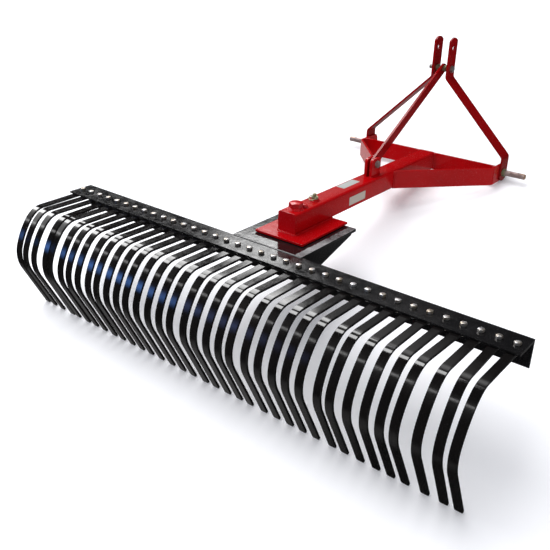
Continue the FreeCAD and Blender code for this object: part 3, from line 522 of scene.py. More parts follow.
@dataclass(frozen=True)
class Finish:
    """What every finish has: a name, the softened edges that catch the light, and its relief."""

    name: str
    edge: float = 0.5
    bump: float = 0.02

    def surface(self, film: ShaderNodeTree, values: Values) -> tuple[Material, Node]:
        """Builds a material whose colour, roughness and relief come from a shared group.

        Args:
            film: the shared group.
            values: the group's inputs by name.

        Returns:
            The material and its shader.
        """
        material, shader = new_material(self.name)
        tree = material.node_tree
        film_out = add_node(tree, "Group", values, node_tree=film).outputs
        soft = add_node(tree, "Bevel", {"Radius": self.edge * MM}, samples=4)
        relief = add_node(tree, "Bump", {"Strength": self.bump, "Distance": 1 * MM, "Height": film_out["Height"],
                                         "Normal": soft.outputs["Normal"]})
        feed(tree, shader, {"Base Color": film_out["Color"], "Roughness": film_out["Roughness"],
                            "Normal": relief.outputs["Normal"]})
        return material, shader


@dataclass(frozen=True)
class Paint(Finish):
    """Sprayed gloss paint on steel."""

    color: Point = (0.5, 0.5, 0.5)
    thin: Point = (0.4, 0.4, 0.4)
    dust: Point = (0.5, 0.5, 0.5)
    dust_amount: float = 0.0
    gloss: Pair = (0.1, 0.3)
    grit: float = 0.12
    waves: float = 1.0
    specular: float = 0.5

    def build(self) -> Material:
        """Builds the paint's material."""
        material, shader = self.surface(paint_film(), {
            "Paint": (*self.color, 1), "Thin Paint": (*self.thin, 1), "Dust": (*self.dust, 1),
            "Dust Amount": self.dust_amount, "Gloss Low": self.gloss[0], "Gloss High": self.gloss[1],
            "Grit": self.grit, "Waves": self.waves})
        shader.inputs["Specular IOR Level"].default_value = self.specular
        return material


@dataclass(frozen=True)
class Plate(Finish):
    """Zinc or chromate plate on steel."""

    edge: float = 0.3
    color: Point = (0.7, 0.7, 0.7)
    stain: Point = (0.5, 0.45, 0.3)
    stain_scale: float = 70.0
    gloss: Pair = (0.2, 0.4)
    metallic: float = 1.0

    def build(self) -> Material:
        """Builds the plate's material."""
        material, shader = self.surface(plate_film(), {
            "Metal": (*self.color, 1), "Stain": (*self.stain, 1), "Stain Scale": self.stain_scale,
            "Gloss Low": self.gloss[0], "Gloss High": self.gloss[1]})
        shader.inputs["Metallic"].default_value = self.metallic
        return material


BLACK = Paint("gloss_black", color=(0.0045, 0.0045, 0.005), thin=(0.007, 0.0065, 0.007), dust=(0.20, 0.20, 0.21),
              dust_amount=0.25, gloss=(0.05, 0.11), waves=5.0, bump=0.035)
BAR_BLACK = replace(BLACK, name="bar_black", dust_amount=0.3, gloss=(0.07, 0.19), grit=0.10)
# Light grey, rough and flecked black: a painted highlight along the deck plate's right edge.
DECK_HIGHLIGHT = Paint("deck_highlight_grey", color=(0.03, 0.03, 0.032), thin=(0.21, 0.21, 0.215), dust=(0.55, 0.55, 0.56),
                dust_amount=1.0, gloss=(0.12, 0.38), grit=0.2, waves=8.0, bump=0.05)
WELD_BLACK = Paint("painted_weld", color=(0.035, 0.035, 0.037), thin=(0.05, 0.05, 0.052), dust=(0.25, 0.25, 0.26),
                   dust_amount=0.4, gloss=(0.20, 0.34), grit=0.2, bump=0.05)
TINE_BLACK = Paint("tine_black", color=(0.0045, 0.004, 0.004), thin=(0.007, 0.006, 0.006), dust=(0.16, 0.16, 0.17),
                   dust_amount=0.15, gloss=(0.04, 0.11), grit=0.08)
RED = Paint("gloss_red", color=(0.39, 0.0012, 0.003), thin=(0.33, 0.001, 0.002), dust=(0.6, 0.06, 0.09),
            dust_amount=0.25, gloss=(0.07, 0.15), grit=0.25, waves=4.0, bump=0.035)
HEAD_RED = Paint("pin_head_red", color=(0.40, 0.0015, 0.005), thin=(0.36, 0.0012, 0.004), dust=(0.6, 0.08, 0.1),
                 dust_amount=0.2, gloss=(0.20, 0.30), grit=0.1, waves=3.0, bump=0.04)
# A darker copy of the boom's red paint: painted shade on the mast straps and the rear brace.
SHADED_MAST_RED = Paint("mast_red_painted_shade", color=(0.22, 0.001, 0.002), thin=(0.18, 0.0008, 0.0015), dust=(0.4, 0.05, 0.06),
                 dust_amount=0.06, gloss=(0.08, 0.18), grit=0.2, waves=3.0, specular=0.2, bump=0.03)
PLATE_RED = Paint("swivel_red", color=(0.35, 0.0014, 0.003), thin=(0.31, 0.001, 0.002), dust=(0.7, 0.12, 0.16),
                  dust_amount=0.35, gloss=(0.09, 0.19), grit=0.3, waves=7.0, specular=0.24, bump=0.04)
ZINC = Plate("bright_zinc", color=(0.52, 0.52, 0.53), stain=(0.34, 0.27, 0.18), gloss=(0.30, 0.46), metallic=0.85)
OLIVE = Plate("yellow_zinc", color=(0.38, 0.36, 0.22), stain=(0.20, 0.20, 0.11), gloss=(0.32, 0.50), metallic=0.65)
COLLAR_OLIVE = Plate("olive_zinc", color=(0.20, 0.24, 0.13), stain=(0.30, 0.27, 0.18), stain_scale=60.0,
                     gloss=(0.32, 0.50), metallic=0.5)
PIN_STEEL = Plate("pin_steel", color=(0.38, 0.29, 0.27), stain=(0.22, 0.14, 0.13), stain_scale=40.0,
                  gloss=(0.30, 0.46), metallic=0.45)
BRONZE = Plate("pin_tip", color=(0.42, 0.26, 0.16), stain=(0.24, 0.14, 0.09), stain_scale=40.0,
               gloss=(0.30, 0.45), metallic=0.5)
LABEL = Paint("blank_label", color=(0.34, 0.36, 0.35), thin=(0.28, 0.30, 0.29), dust=(0.55, 0.55, 0.53),
              dust_amount=0.5, gloss=(0.30, 0.42), bump=0.01, edge=0.1)
SIDE_LABEL = replace(LABEL, name="blank_side_label", color=(0.50, 0.42, 0.36), thin=(0.42, 0.35, 0.31),
                     dust=(0.6, 0.5, 0.45))
LABEL_RIM = replace(LABEL, name="label_rim", color=(0.20, 0.10, 0.09), thin=(0.16, 0.08, 0.07),
                    dust=(0.4, 0.3, 0.3), dust_amount=0.3)

NODE_FINISHES: tuple[tuple[str, Finish], ...] = (
    ("tine_", TINE_BLACK), ("mast_strap", SHADED_MAST_RED), ("rear_brace", SHADED_MAST_RED), ("hitch_pin", PIN_STEEL),
    ("kingpin_nut", ZINC), ("swivel_washer", ZINC), ("brace_bolt", ZINC), ("mast_bolt", OLIVE),
    ("lock_pin_boss", RED), ("lock_pin", OLIVE), ("swivel_plate", PLATE_RED), ("angle_bar", BAR_BLACK))


class Paintwork:
    """All the finishes, built once, and the nodes of the CAD model that take them."""

    def __init__(self) -> None:
        """Builds every finish."""
        finishes = (BLACK, BAR_BLACK, DECK_HIGHLIGHT, WELD_BLACK, TINE_BLACK, RED, HEAD_RED, SHADED_MAST_RED, PLATE_RED, ZINC,
                    OLIVE, COLLAR_OLIVE, PIN_STEEL, BRONZE, LABEL, SIDE_LABEL, LABEL_RIM)
        self.materials = {finish.name: finish.build() for finish in finishes}

    def of(self, finish: Finish) -> Material:
        """The material of a finish."""
        return self.materials[finish.name]

    def finish_for(self, node: str) -> Finish:
        """Chooses a CAD node's finish.

        Args:
            node: the node's name.

        Returns:
            The finish of the first start of a name that fits, or else its body's paint.
        """
        painted = BLACK if frame["nodes"][node]["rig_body"] == Body.HEAD.value else RED
        return next((finish for start, finish in NODE_FINISHES if node.startswith(start)), painted)

    def dress_nodes(self) -> None:
        """Gives every CAD node its finish."""
        for name, node in frame["nodes"].items():
            material = self.of(self.finish_for(name))
            if node.material_slots:
                for place in node.material_slots:
                    place.material = material
            else:
                node.data.materials.append(material)


# Pieces


@dataclass
class Assembly:
    """Pieces that are made together, and the finishes that they take."""

    work: Paintwork

    def set_piece(self, bm: BMesh, name: str, body: Body, like: str | Plating, finish: Finish,
                  smooth: float = 35.0, parked: bool = True) -> Object:
        """Makes a finished mesh an object of the scene.

        Args:
            bm: the mesh, which is freed.
            name: the piece's name.
            body: the body that it moves with.
            like: a CAD node's name or a plating; not used.
            finish: its finish.
            smooth: faces that meet at less than this angle, in degrees, are shaded as one surface.
            parked: moves the mesh from the level frame to the parked machine.

        Returns:
            The new object.
        """
        if parked:
            bmesh.ops.transform(bm, matrix=PARKED, verts=bm.verts[:])
        bmesh.ops.recalc_face_normals(bm, faces=bm.faces[:])
        mesh = bpy.data.meshes.new(name)
        bm.to_mesh(mesh)
        bm.free()
        mesh.shade_smooth()
        mesh.set_sharp_from_angle(angle=math.radians(smooth))
        mesh.materials.append(self.work.of(finish))
        piece = bpy.data.objects.new(name, mesh)
        bpy.context.scene.collection.objects.link(piece)
        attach(piece, body.value)
        LOG.info("%s: %d faces on %s", name, len(mesh.polygons), body.value)
        return piece


@dataclass
class Steelwork(Assembly):
    """The rolled, sheared and bent steel, each piece with the soft edges that the mill and the paint leave."""

    edge: float = 0.9
    fine_edge: float = 0.5
    fine: tuple[str, ...] = ("swivel_washer", "lock_pin")
    apart: tuple[str, ...] = ("kingpin", "kingpin_nut", "brace_bolt", "mast_bolt", "hitch_pin_left",
                              "hitch_pin_right", "lock_pin_ring")

    def build(self) -> None:
        """Makes copies with rounded edges, which stand for every node that has no class of its own below."""
        for name in sorted(set(frame["nodes"]) - set(self.apart)):
            body = Body(frame["nodes"][name]["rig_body"])
            piece = self.set_piece(node_mesh(name), f"steel_{name}", body, name, self.work.finish_for(name),
                                   SMOOTH_FLATS, parked=False)
            soften_edges(piece, self.fine_edge if name in self.fine else self.edge)
            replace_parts(piece, name)


@dataclass
class WeldBeads(Assembly):
    """The weld beads: red ones on the boom and the hitch frame, black ones on the rake head."""

    cap: float = 106.0
    plate: Pair = (104.0, 329.0)
    wing_start: Pair = (752.0, 769.0)
    crossbar: Pair = (1090.0, 1100.0)
    frame_top: float = 84.5
    wing_inside: float = 310.0
    lug_ends: Pair = (612.0, 674.0)
    lug_faces: Pair = (5.5, 17.5)
    gusset_inside: float = 137.5
    gusset_front: float = 288.0
    deck_front: float = 318.0
    leg_low: float = -88.0
    top_seam: float = 34.0
    boss_radius: float = 15.0
    boss_bead: float = 3.0
    joint_bead: float = 3.8
    joint_rise: float = 0.5
    stout: float = 4.5
    plain: float = 4.0
    slim: float = 3.5
    seed: int = 11

    def red_beads(self) -> list[Bead]:
        """The straight beads on the boom and the hitch frame."""
        low, top, rim = BOOM_LOW, BOOM_TOP, self.frame_top
        (rear, front), (first, second), (inner, outer) = self.crossbar, self.wing_start, self.lug_faces
        seam = self.top_seam
        beads = [Bead((-BOOM_HALF, self.cap, low), (BOOM_HALF, self.cap, low), self.stout),
                 Bead((-seam, rear + 1, rim), (seam, rear + 1, rim), self.plain)]
        for hand in (-1, 1):
            side, wing = hand * BOOM_HALF, hand * self.wing_inside
            beads.append(Bead((side, self.plate[0], low), (side, self.plate[1], low), self.stout))
            for across, forward in ((side, first), (side, second), (side, rear), (wing, rear), (wing, front)):
                radius = self.plain if forward == second else self.stout
                beads.append(Bead((across, forward, low), (across, forward, rim), radius))
            lug, (lug_rear, lug_front) = hand * outer, self.lug_ends
            beads.append(Bead((lug, lug_rear, top), (lug, lug_front, top), self.plain))
            beads += [Bead((hand * inner, end, top), (lug, end, top), self.slim) for end in self.lug_ends]
        return beads

    def black_beads(self) -> list[Bead]:
        """The straight beads under the deck and down the bar's leg."""
        edge, inside = DECK_HALF - 1.5, self.gusset_inside
        beads = [Bead((-edge, 3, -1.0), (-edge, self.deck_front, -1.0), self.slim)]
        for hand in (-1, 1):
            for across in (hand * DECK_HALF, hand * inside):
                beads.append(Bead((across, 0, -8), (across, 0, self.leg_low), self.plain))
            beads.append(Bead((hand * inside, 2, -7.5), (hand * inside, self.gusset_front, -7.5), self.plain))
        return beads

    def build(self) -> None:
        """Lays all the beads, with the low one between the deck and the bar as a piece of its own."""
        red, black, joint = bmesh.new(), bmesh.new(), bmesh.new()
        rng = random.Random(self.seed)
        for bead in self.red_beads():
            bead.lay(red, rng)
        add_ring_bead(red, (0, LOCK_FORWARD, BOOM_TOP), self.boss_radius, self.boss_bead, rng)
        Bead((-DECK_HALF, -0.8, 0.5), (DECK_HALF, -0.8, 0.5), self.joint_bead, self.joint_rise).lay(joint, rng)
        for bead in self.black_beads():
            bead.lay(black, rng)
        self.set_piece(red, "weld_beads_red", Body.BOOM, "boom_tube", RED, SMOOTH_ROUNDS)
        self.set_piece(black, "weld_beads_black", Body.HEAD, "deck_plate", BLACK, SMOOTH_ROUNDS)
        self.set_piece(joint, "weld_bead_deck_to_bar", Body.HEAD, "deck_plate", WELD_BLACK, SMOOTH_ROUNDS)


@dataclass
class DeckHighlightStrip(Assembly):
    """A light grey, rough strip along the deck plate's right edge: a painted highlight on the glossy black deck."""

    inner: float = 118.0
    outer: float = 146.2
    rear: float = 1.5
    front: float = 318.0
    top: float = 2.08
    uneven: float = 2.2
    steps: int = 48
    seed: int = 23

    def build(self) -> None:
        """Builds the strip with an uneven inner edge."""
        bm, rng = bmesh.new(), random.Random(self.seed)
        bmesh.ops.create_grid(bm, x_segments=4, y_segments=self.steps, size=0.5)
        edge: dict[float, float] = {}
        for vert in bm.verts:
            along = self.rear + (vert.co.y + 0.5) * (self.front - self.rear)
            inner = edge.setdefault(round(along, 2), self.inner + rng.uniform(-self.uneven, self.uneven))
            vert.co = Vector((inner + (vert.co.x + 0.5) * (self.outer - inner), along, self.top)) * MM
        self.set_piece(bm, "deck_painted_highlight", Body.HEAD, "deck_plate", DECK_HIGHLIGHT, SMOOTH_ROUNDS)


@dataclass
class KingPin(Assembly):
    """The kingpin: its painted head on the boom, and its nut and washer under the deck."""

    radius: float = 14.3
    flats: float = 43.0
    collar: float = 6.0
    collar_radius: float = 26.5
    head: float = 17.5
    turn: float = 33.0
    keeper_at: Pair = (19.0, 182.0)
    keeper_size: Point = (19.0, 15.0, 27.0)
    keeper_round: float = 4.5
    keeper_turn: float = 28.0
    washer_top: float = -7.9
    washer: float = 2.1
    washer_radius: float = 30.0
    nut: float = 22.0
    tail: float = 6.0
    pitch: float = 2.6
    bead: float = 2.8
    seed: int = 5

    def add_keeper(self, bm: BMesh) -> None:
        """Adds the small welded block that keeps the head from turning.

        Args:
            bm: the mesh to add to.
        """
        before = set(bm.verts)
        bmesh.ops.create_cube(bm, size=1.0)
        made = gained(bm, before)
        bmesh.ops.scale(bm, vec=Vector(self.keeper_size) * MM, verts=made)
        edges = list({edge for vert in made for edge in vert.link_edges})
        bmesh.ops.bevel(bm, geom=edges, offset=self.keeper_round * MM, segments=3, profile=0.5, affect="EDGES",
                        material=-1)
        bmesh.ops.transform(bm, matrix=facing(UP, (*self.keeper_at, BOOM_TOP), self.keeper_turn),
                            verts=gained(bm, before))

    def build(self) -> None:
        """Builds the pin and its nut."""
        pin, nut = bmesh.new(), bmesh.new()
        seat = (0, KINGPIN_FORWARD, BOOM_TOP)
        ring, high = self.collar_radius, self.collar
        add_hexagon(pin, self.flats, self.head, raised(facing(UP, seat, self.turn), high), steps=72)
        turn_profile(pin, [(0, 0), (ring * 1.04, 0), (ring, high * 0.6), (ring * 0.96, high * 0.9),
                           (ring * 0.9, high), (0, high)], facing(UP, seat), 64)
        centre = (0, KINGPIN_FORWARD, BOOM_TOP + 0.2)
        add_ring_bead(pin, centre, ring + 0.5, self.bead, random.Random(self.seed))
        self.add_keeper(pin)
        add_rod(pin, self.radius, BOOM_TOP - self.washer_top + self.washer + self.nut / 2, facing(DOWN, seat), 40)
        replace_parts(self.set_piece(pin, "kingpin_painted", Body.BOOM, "kingpin", HEAD_RED), "kingpin")
        under = facing(DOWN, (0, KINGPIN_FORWARD, self.washer_top), self.turn)
        add_washer(nut, self.washer_radius, self.radius + 0.25, self.washer, under, 48)
        add_hexagon(nut, self.flats, self.nut, raised(under, self.washer), True, 72)
        add_thread(nut, self.radius, self.tail, self.pitch, raised(under, self.washer + self.nut), 40)
        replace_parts(self.set_piece(nut, "kingpin_nut_plated", Body.BOOM, "kingpin_nut", ZINC), "kingpin_nut")


@dataclass
class CrossBolts(Assembly):
    """The bolt through the brace's lugs and the long bolt through the mast."""

    low_at: Pair = (645.0, 134.0)
    mast_at: Pair = (1152.0, 429.0)
    lug_outside: float = 17.5
    strap_inside: float = 29.0
    strap_outside: float = 37.0
    brace_side: float = 4.75
    radius: float = 7.95
    flats: float = 24.0
    head: float = 10.0
    head_turn: float = 12.0
    washer: float = 2.0
    washer_radius: float = 14.5
    pitch: float = 2.0
    nut: float = 11.0
    low_nut: float = 13.0
    low_tail: float = 16.0
    mast_tail: float = 33.0

    def add_across(self, bm: BMesh, at: Pair, left: float, right: float, tail: float) -> None:
        """Adds a bolt along X, with its head on the right and its thread on the left.

        Args:
            bm: the mesh to add to.
            at: how far forward and how high its middle line is.
            left: where its thread starts.
            right: where its head sits.
            tail: length of the thread.
        """
        out = facing(RIGHT, (right, *at), self.head_turn)
        add_washer(bm, self.washer_radius, self.radius, self.washer, out, 40)
        add_hexagon(bm, self.flats, self.head - self.washer, raised(out, self.washer), steps=48)
        back = facing(LEFT, (right, *at))
        add_rod(bm, self.radius, right - left, back, 32)
        add_thread(bm, self.radius, tail, self.pitch, raised(back, right - left), 32)

    def build(self) -> None:
        """Builds both bolts and their nuts."""
        low, mast, nuts = bmesh.new(), bmesh.new(), bmesh.new()
        lug, inside, outside = self.lug_outside, self.strap_inside, self.strap_outside
        self.add_across(low, self.low_at, -lug, lug, self.low_tail)
        add_hexagon(low, self.flats, self.low_nut, facing(LEFT, (-lug, *self.low_at), 20), True, 48)
        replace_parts(self.set_piece(low, "brace_bolt_plated", Body.BOOM, "brace_bolt", ZINC), "brace_bolt")
        self.add_across(mast, self.mast_at, -inside, outside, self.mast_tail)
        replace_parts(self.set_piece(mast, "mast_bolt_plated", Body.BOOM, "mast_bolt", ZINC), "mast_bolt")
        for across, out, turn in ((-inside, RIGHT, 5), (self.brace_side, RIGHT, 40), (-outside, LEFT, 25)):
            add_hexagon(nuts, self.flats, self.nut, facing(out, (across, *self.mast_at), turn), True, 48)
        self.set_piece(nuts, "mast_bolt_nuts", Body.BOOM, Plating.YELLOW, OLIVE)


@dataclass
class HitchPins(Assembly):
    """The two lower hitch pins, each with its collar outside the strap and its nut inside the wing."""

    forward: float = 1140.0
    height: float = 50.5
    radius: float = 11.1
    flats: float = 32.0
    collar_flats: float = 28.0
    thick: float = 13.0
    turn: float = 20.0
    nut_inside: float = 297.0
    collar_inside: float = 328.0
    wiped_from: float = 404.0
    tail: float = 7.0
    pitch: float = 2.3
    edge: float = 0.4

    def take_off(self, bm: BMesh) -> None:
        """Takes the collar and the nut off a pin's mesh and closes its shank.

        Args:
            bm: the pin's mesh.
        """
        middle_line = PARKED @ (Vector((0, self.forward, self.height)) * MM)

        def reach(face: BMFace) -> float:
            """How far a face reaches from the pin's middle line."""
            return max((vert.co - middle_line).yz.length for vert in face.verts)

        wide = [face for face in bm.faces if reach(face) > (self.radius + 0.3) * MM]
        bmesh.ops.delete(bm, geom=wide, context="FACES")
        rims = [edge for edge in bm.edges if edge.is_boundary]
        for inside in (self.nut_inside, self.collar_inside):
            middle = (inside + self.thick / 2) * MM
            near = [edge for edge in rims if abs(abs(edge.verts[0].co.x) - middle) < self.thick * 0.7 * MM]
            bmesh.ops.bridge_loops(bm, edges=near)

    def build(self) -> None:
        """Builds both pins."""
        for name, hand in (("hitch_pin_left", -1), ("hitch_pin_right", 1)):
            pin, hexes = node_mesh(name), bmesh.new()
            self.take_off(pin)
            piece = self.set_piece(pin, f"steel_{name}", Body.BOOM, name, PIN_STEEL, SMOOTH_FLATS, parked=False)
            piece.data.materials.append(self.work.of(BRONZE))
            for face in piece.data.polygons:
                if abs(face.center.x) > self.wiped_from * MM:
                    face.material_index = 1
            soften_edges(piece, self.edge)
            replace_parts(piece, name)
            for inside, flats in ((self.nut_inside, self.flats), (self.collar_inside, self.collar_flats)):
                place = facing((hand, 0, 0), (hand * inside, self.forward, self.height), self.turn)
                add_hexagon(hexes, flats, self.thick, place, True, 48)
            thread = facing((-hand, 0, 0), (hand * self.nut_inside, self.forward, self.height))
            add_thread(hexes, self.radius + 0.05, self.tail, self.pitch, thread, 32)
            self.set_piece(hexes, f"{name}_collar", Body.BOOM, Plating.YELLOW, COLLAR_OLIVE)


@dataclass
class PullRing(Assembly):
    """The ring of bent wire in the lock pin's neck."""

    hole_height: float = 107.0
    radius: float = 14.0
    wire: float = 3.5
    lean: float = 25.0

    def build(self) -> None:
        """Builds the ring, hanging back from the hole."""
        bm = bmesh.new()
        made = bmesh.ops.create_circle(bm, cap_ends=False, segments=14, radius=self.wire / 2 * MM)["verts"]
        upright = turned(Matrix.Translation((self.radius * MM, 0, 0)), (90, "X"))
        bmesh.ops.transform(bm, matrix=upright, verts=made)
        ring = made + list({edge for vert in made for edge in vert.link_edges})
        bmesh.ops.spin(bm, geom=ring, axis=UP, cent=(0, 0, 0), angle=math.tau, steps=56, use_merge=True,
                       use_duplicate=False)
        bmesh.ops.remove_doubles(bm, verts=bm.verts[:], dist=MERGE)
        hole = Matrix.Translation(Vector((0, LOCK_FORWARD, self.hole_height)) * MM)
        hung = turned(hole, (self.lean, "X")) @ Matrix.Translation((0, -self.radius * MM, 0))
        bmesh.ops.transform(bm, matrix=hung, verts=bm.verts[:])
        piece = self.set_piece(bm, "pull_ring", Body.LOCK, "lock_pin_ring", OLIVE, SMOOTH_ROUNDS)
        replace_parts(piece, "lock_pin_ring")


@dataclass
class TineBolts(Assembly):
    """The row of bolts, washers and nuts that holds the tines under the bar's flange."""

    count: int = 36
    pitch: float = 50.8
    line: float = -57.0
    flats: float = 17.8
    head: float = 7.4
    washer: float = 1.2
    washer_hole: float = 4.0
    tine_foot: float = -16.0
    low_washer: Point = (14.0, 6.4, 2.2)
    nut: float = 10.5
    thread: Point = (6.35, 6.0, 1.95)
    thread_root: float = 12.2
    seed: int = 7

    def build(self) -> None:
        """Builds the heads above the flange, and the washers, nuts and thread ends under the tines."""
        heads, nuts, rng = bmesh.new(), bmesh.new(), random.Random(self.seed)
        for number in range(self.count):
            across, turn = (number - (self.count - 1) / 2) * self.pitch, math.degrees(rng.uniform(0, math.tau))
            top = facing(UP, (across, self.line, 0.0), turn)
            add_hexagon(heads, self.flats, self.head, raised(top, self.washer))
            add_washer(heads, self.flats * 0.49, self.washer_hole, self.washer, top, 24)
            under = facing(DOWN, (across, self.line, self.tine_foot), turn)
            add_washer(nuts, *self.low_washer, under, 28)
            add_hexagon(nuts, self.flats, self.nut, raised(under, self.low_washer[2]), True, 24)
            add_thread(nuts, *self.thread, raised(under, self.thread_root), 16)
        self.set_piece(heads, "tine_bolt_heads", Body.HEAD, Plating.BRIGHT, ZINC)
        self.set_piece(nuts, "tine_bolt_nuts", Body.HEAD, Plating.BRIGHT, ZINC)


@dataclass
class Stickers(Assembly):
    """Two blank labels on the boom, the one on the side with a darker rim."""

    thick: float = 0.25
    corner: float = 3.0
    top_at: Pair = (-9.0, 491.0)
    top_size: Pair = (36.0, 108.0)
    side_at: Pair = (488.6, 44.1)
    side_size: Pair = (31.0, 108.2)
    rim: float = 1.2
    rim_sunk: float = 0.12

    def make_label(self, size: Pair, place: Matrix) -> BMesh:
        """Makes a thin label with rounded corners.

        Args:
            size: its size along X and along Y.
            place: where its middle goes, with Z out of the surface.

        Returns:
            Its mesh.
        """
        bm = bmesh.new()
        made = bmesh.ops.create_grid(bm, x_segments=1, y_segments=1, size=0.5)["verts"]
        bmesh.ops.scale(bm, vec=(size[0] * MM, size[1] * MM, 1), verts=made)
        bmesh.ops.bevel(bm, geom=made, offset=self.corner * MM, segments=4, profile=0.5, affect="VERTICES",
                        material=-1)
        made = bmesh.ops.extrude_face_region(bm, geom=bm.faces[:])["geom"]
        bmesh.ops.translate(bm, vec=(0, 0, self.thick * MM), verts=[v for v in made if isinstance(v, BMVert)])
        bmesh.ops.transform(bm, matrix=place, verts=bm.verts[:])
        return bm

    def build(self) -> None:
        """Builds both labels and the rim."""
        wide, long = self.side_size
        side = turned(Matrix.Translation(Vector((BOOM_HALF, *self.side_at)) * MM), (90, "Y"))
        rims = self.make_label((wide + 2 * self.rim, long + 2 * self.rim), raised(side, -self.rim_sunk))
        self.set_piece(rims, "blank_label_rim", Body.BOOM, "boom_tube", LABEL_RIM)
        over = self.make_label(self.top_size, Matrix.Translation(Vector((*self.top_at, BOOM_TOP)) * MM))
        self.set_piece(over, "blank_label_top", Body.BOOM, "boom_tube", LABEL)
        self.set_piece(self.make_label(self.side_size, side), "blank_label_side", Body.BOOM, "boom_tube", SIDE_LABEL)


# Studio


@dataclass(frozen=True)
class SoftPanel:
    """A soft bright panel far away that shows only in gloss, placed by its direction in the level frame.

    Azimuth runs from straight ahead to the left, and slant turns the panel about its own middle. Its size is
    in degrees across.
    """

    azimuth: float
    elevation: float
    long: float
    wide: float
    radiance: float
    soft: float
    slant: float = 0.0
    color: Point = (1.0, 1.0, 1.0)

    def axes(self) -> tuple[Vector, Vector, Vector]:
        """The directions of its middle, its length and its width, for the parked machine."""
        turn = turned(PARKED, (self.azimuth, "Z"), (self.elevation, "X"), (self.slant, "Y")).to_3x3()
        return turn.col[1], turn.col[0], turn.col[2]

    def add_to(self, tree: ShaderNodeTree, direction: NodeSocket) -> NodeSocket:
        """Adds the panel's nodes to the air.

        Args:
            tree: the air's tree.
            direction: the direction that a ray leaves in.

        Returns:
            The panel's light in that direction, as a vector of red, green and blue.
        """
        middle, long, wide = (
            add_node(tree, "VectorMath", {0: direction, 1: axis}, operation="DOT_PRODUCT").outputs["Value"]
            for axis in self.axes())
        mask = add_range(tree, middle, 0.05, 0.15)
        for offset, size in ((long, self.long), (wide, self.wide)):
            inner = math.tan(math.radians(max(0.0, size / 2 - self.soft)))
            outer = math.tan(math.radians(size / 2 + self.soft))
            off = add_sum(tree, "ABSOLUTE", add_sum(tree, "DIVIDE", offset, middle))
            mask = add_sum(tree, "MULTIPLY", mask, add_range(tree, off, inner, outer, 1.0, 0.0))
        light = tuple(channel * self.radiance for channel in self.color)
        return add_node(tree, "VectorMath", {0: light, "Scale": mask}, operation="SCALE").outputs[0]


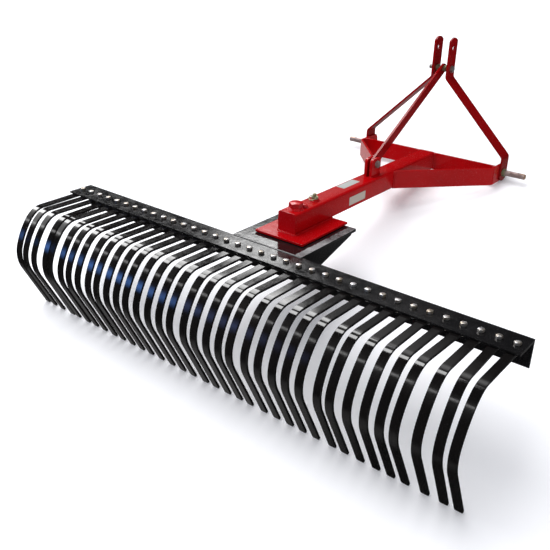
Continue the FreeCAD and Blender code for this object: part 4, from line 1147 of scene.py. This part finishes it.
@dataclass
class Studio:
    """The floor, the air, the light and the camera. The light hangs far out along its direction."""

    camera_at: Point = (1397.0, -1723.0, 981.0)
    azimuth: float = 38.25
    pitch: float = 26.14
    roll: float = 1.30
    lens: float = 47.74
    floor_size: float = 30000.0
    floor_colors: tuple[Point, Point] = ((0.90, 0.90, 0.92), (0.94, 0.94, 0.96))
    floor_glow: Point = (0.96, 0.96, 1.0)
    floor_glow_strength: float = 0.10
    air: Point = (0.5766, 0.589, 0.62)
    dark: float = 0.012
    light_from: Point = (-0.40, -0.12, 1.0)
    light_distance: float = 5000.0
    light_size: float = 5000.0
    light_power: float = 340.0
    panels: tuple[SoftPanel, ...] = (
        SoftPanel(40.0, 24.35, 5.4, 2.9, 6.0, 0.5),
        SoftPanel(34.0, 19.8, 8.0, 3.0, 0.4, 2.0),
        SoftPanel(32.5, 47.0, 20.0, 25.0, 1.7, 6.0, 28.0),
        SoftPanel(50.7, 38.2, 21.2, 23.2, 7.2, 0.6, -16.8),
        SoftPanel(77.9, 50.0, 13.4, 43.0, 11.5, 1.2, 10.6),
        SoftPanel(104.0, 31.5, 32.0, 6.0, 3.5, 3.0, -35.0),
        SoftPanel(139.1, 33.0, 47.0, 1.4, 4.5, 0.9, 24.9),
        SoftPanel(132.5, 11.5, 8.5, 7.0, 5.6, 3.0, color=(0.13, 0.35, 1.0)),
        SoftPanel(140.5, 15.5, 10.0, 8.0, 1.4, 4.0, color=(0.35, 0.45, 1.0)),
        SoftPanel(132.0, 42.0, 60.0, 22.0, 0.15, 6.0),
        SoftPanel(105.0, -52.0, 70.0, 26.0, 0.2, 5.0),
        SoftPanel(12.0, -25.0, 84.0, 14.0, 0.26, 4.0),
        SoftPanel(54.0, -17.0, 20.0, 18.0, 0.4, 5.0),
        SoftPanel(-105.0, -20.0, 90.0, 26.0, 0.18, 6.0),
        SoftPanel(-150.0, -22.0, 36.0, 26.0, 1.8, 5.0),
        SoftPanel(-115.0, 42.0, 50.0, 26.0, 1.2, 6.0),
    )

    def place_camera(self) -> None:
        """Stands the camera behind the rake's right end, looking down along the boom."""
        stand = PARKED @ Matrix.Translation(Vector(self.camera_at) * MM)
        data = bpy.data.cameras.new("camera")
        data.lens, data.sensor_width = self.lens, 36.0
        camera = bpy.data.objects.new("camera", data)
        camera.matrix_world = turned(stand, (self.azimuth, "Z"), (90 - self.pitch, "X"), (self.roll, "Z"))
        bpy.context.scene.collection.objects.link(camera)
        bpy.context.scene.camera = camera

    def lay_floor(self) -> None:
        """Lays a wide pale floor under the machine."""
        bm = bmesh.new()
        bmesh.ops.create_grid(bm, x_segments=1, y_segments=1, size=self.floor_size * MM)
        mesh = bpy.data.meshes.new("floor")
        bm.to_mesh(mesh)
        bm.free()
        material, shader = new_material("pale_floor")
        tree = material.node_tree
        where = tree.nodes.new("ShaderNodeTexCoord").outputs["Object"]
        ramp = add_node(tree, "ValToRGB", {"Fac": add_noise(tree, where, 1.5, 3.0)})
        for stop, color in zip(ramp.color_ramp.elements, self.floor_colors):
            stop.color = (*color, 1)
        feed(tree, shader, {"Base Color": ramp.outputs["Color"], "Roughness": 0.9, "Specular IOR Level": 0.1,
                            "Emission Color": (*self.floor_glow, 1), "Emission Strength": self.floor_glow_strength})
        mesh.materials.append(material)
        floor = bpy.data.objects.new("floor", mesh)
        floor.visible_glossy = False
        bpy.context.scene.collection.objects.link(floor)

    def fill_air(self) -> None:
        """Fills the air with even light, and shows the soft panels in the gloss of paint and plate."""
        world = bpy.data.worlds.new("studio_air")
        world.use_nodes = True
        tree = world.node_tree
        direction = tree.nodes.new("ShaderNodeTexCoord").outputs["Object"]
        total: Value = (self.dark, self.dark, self.dark)
        for panel in self.panels:
            given = {0: total, 1: panel.add_to(tree, direction)}
            total = add_node(tree, "VectorMath", given, operation="ADD").outputs[0]
        glossy = tree.nodes.new("ShaderNodeLightPath").outputs["Is Glossy Ray"]
        feed(tree, tree.nodes["Background"], {"Color": add_mix(tree, glossy, (*self.air, 1), total)})
        bpy.context.scene.world = world

    def hang_light(self) -> None:
        """Hangs a soft light over the machine that doesn't show in gloss."""
        data = bpy.data.lights.new("overhead", "AREA")
        data.shape, data.size, data.size_y = "RECTANGLE", self.light_size * MM, self.light_size * MM
        data.energy = self.light_power
        light = bpy.data.objects.new("overhead", data)
        aim = Vector(self.light_from).normalized()
        light.matrix_world = PARKED @ facing(aim, aim * self.light_distance)
        light.visible_glossy = False
        light.visible_camera = False
        bpy.context.scene.collection.objects.link(light)

    def build(self) -> None:
        """Builds the whole studio."""
        bpy.context.scene.view_settings.view_transform = "Standard"
        self.place_camera()
        self.lay_floor()
        self.fill_air()
        self.hang_light()


def main() -> None:
    """Dresses the CAD nodes, builds the studio, and then makes the machine's pieces in order."""
    logging.basicConfig(level=logging.INFO, format="%(name)s: %(message)s")
    work = Paintwork()
    work.dress_nodes()
    Studio().build()
    for assembly in (Steelwork, WeldBeads, DeckHighlightStrip, TineBolts, KingPin, CrossBolts, HitchPins, PullRing, Stickers):
        assembly(work).build()


if __name__ == "__main__":
    main()
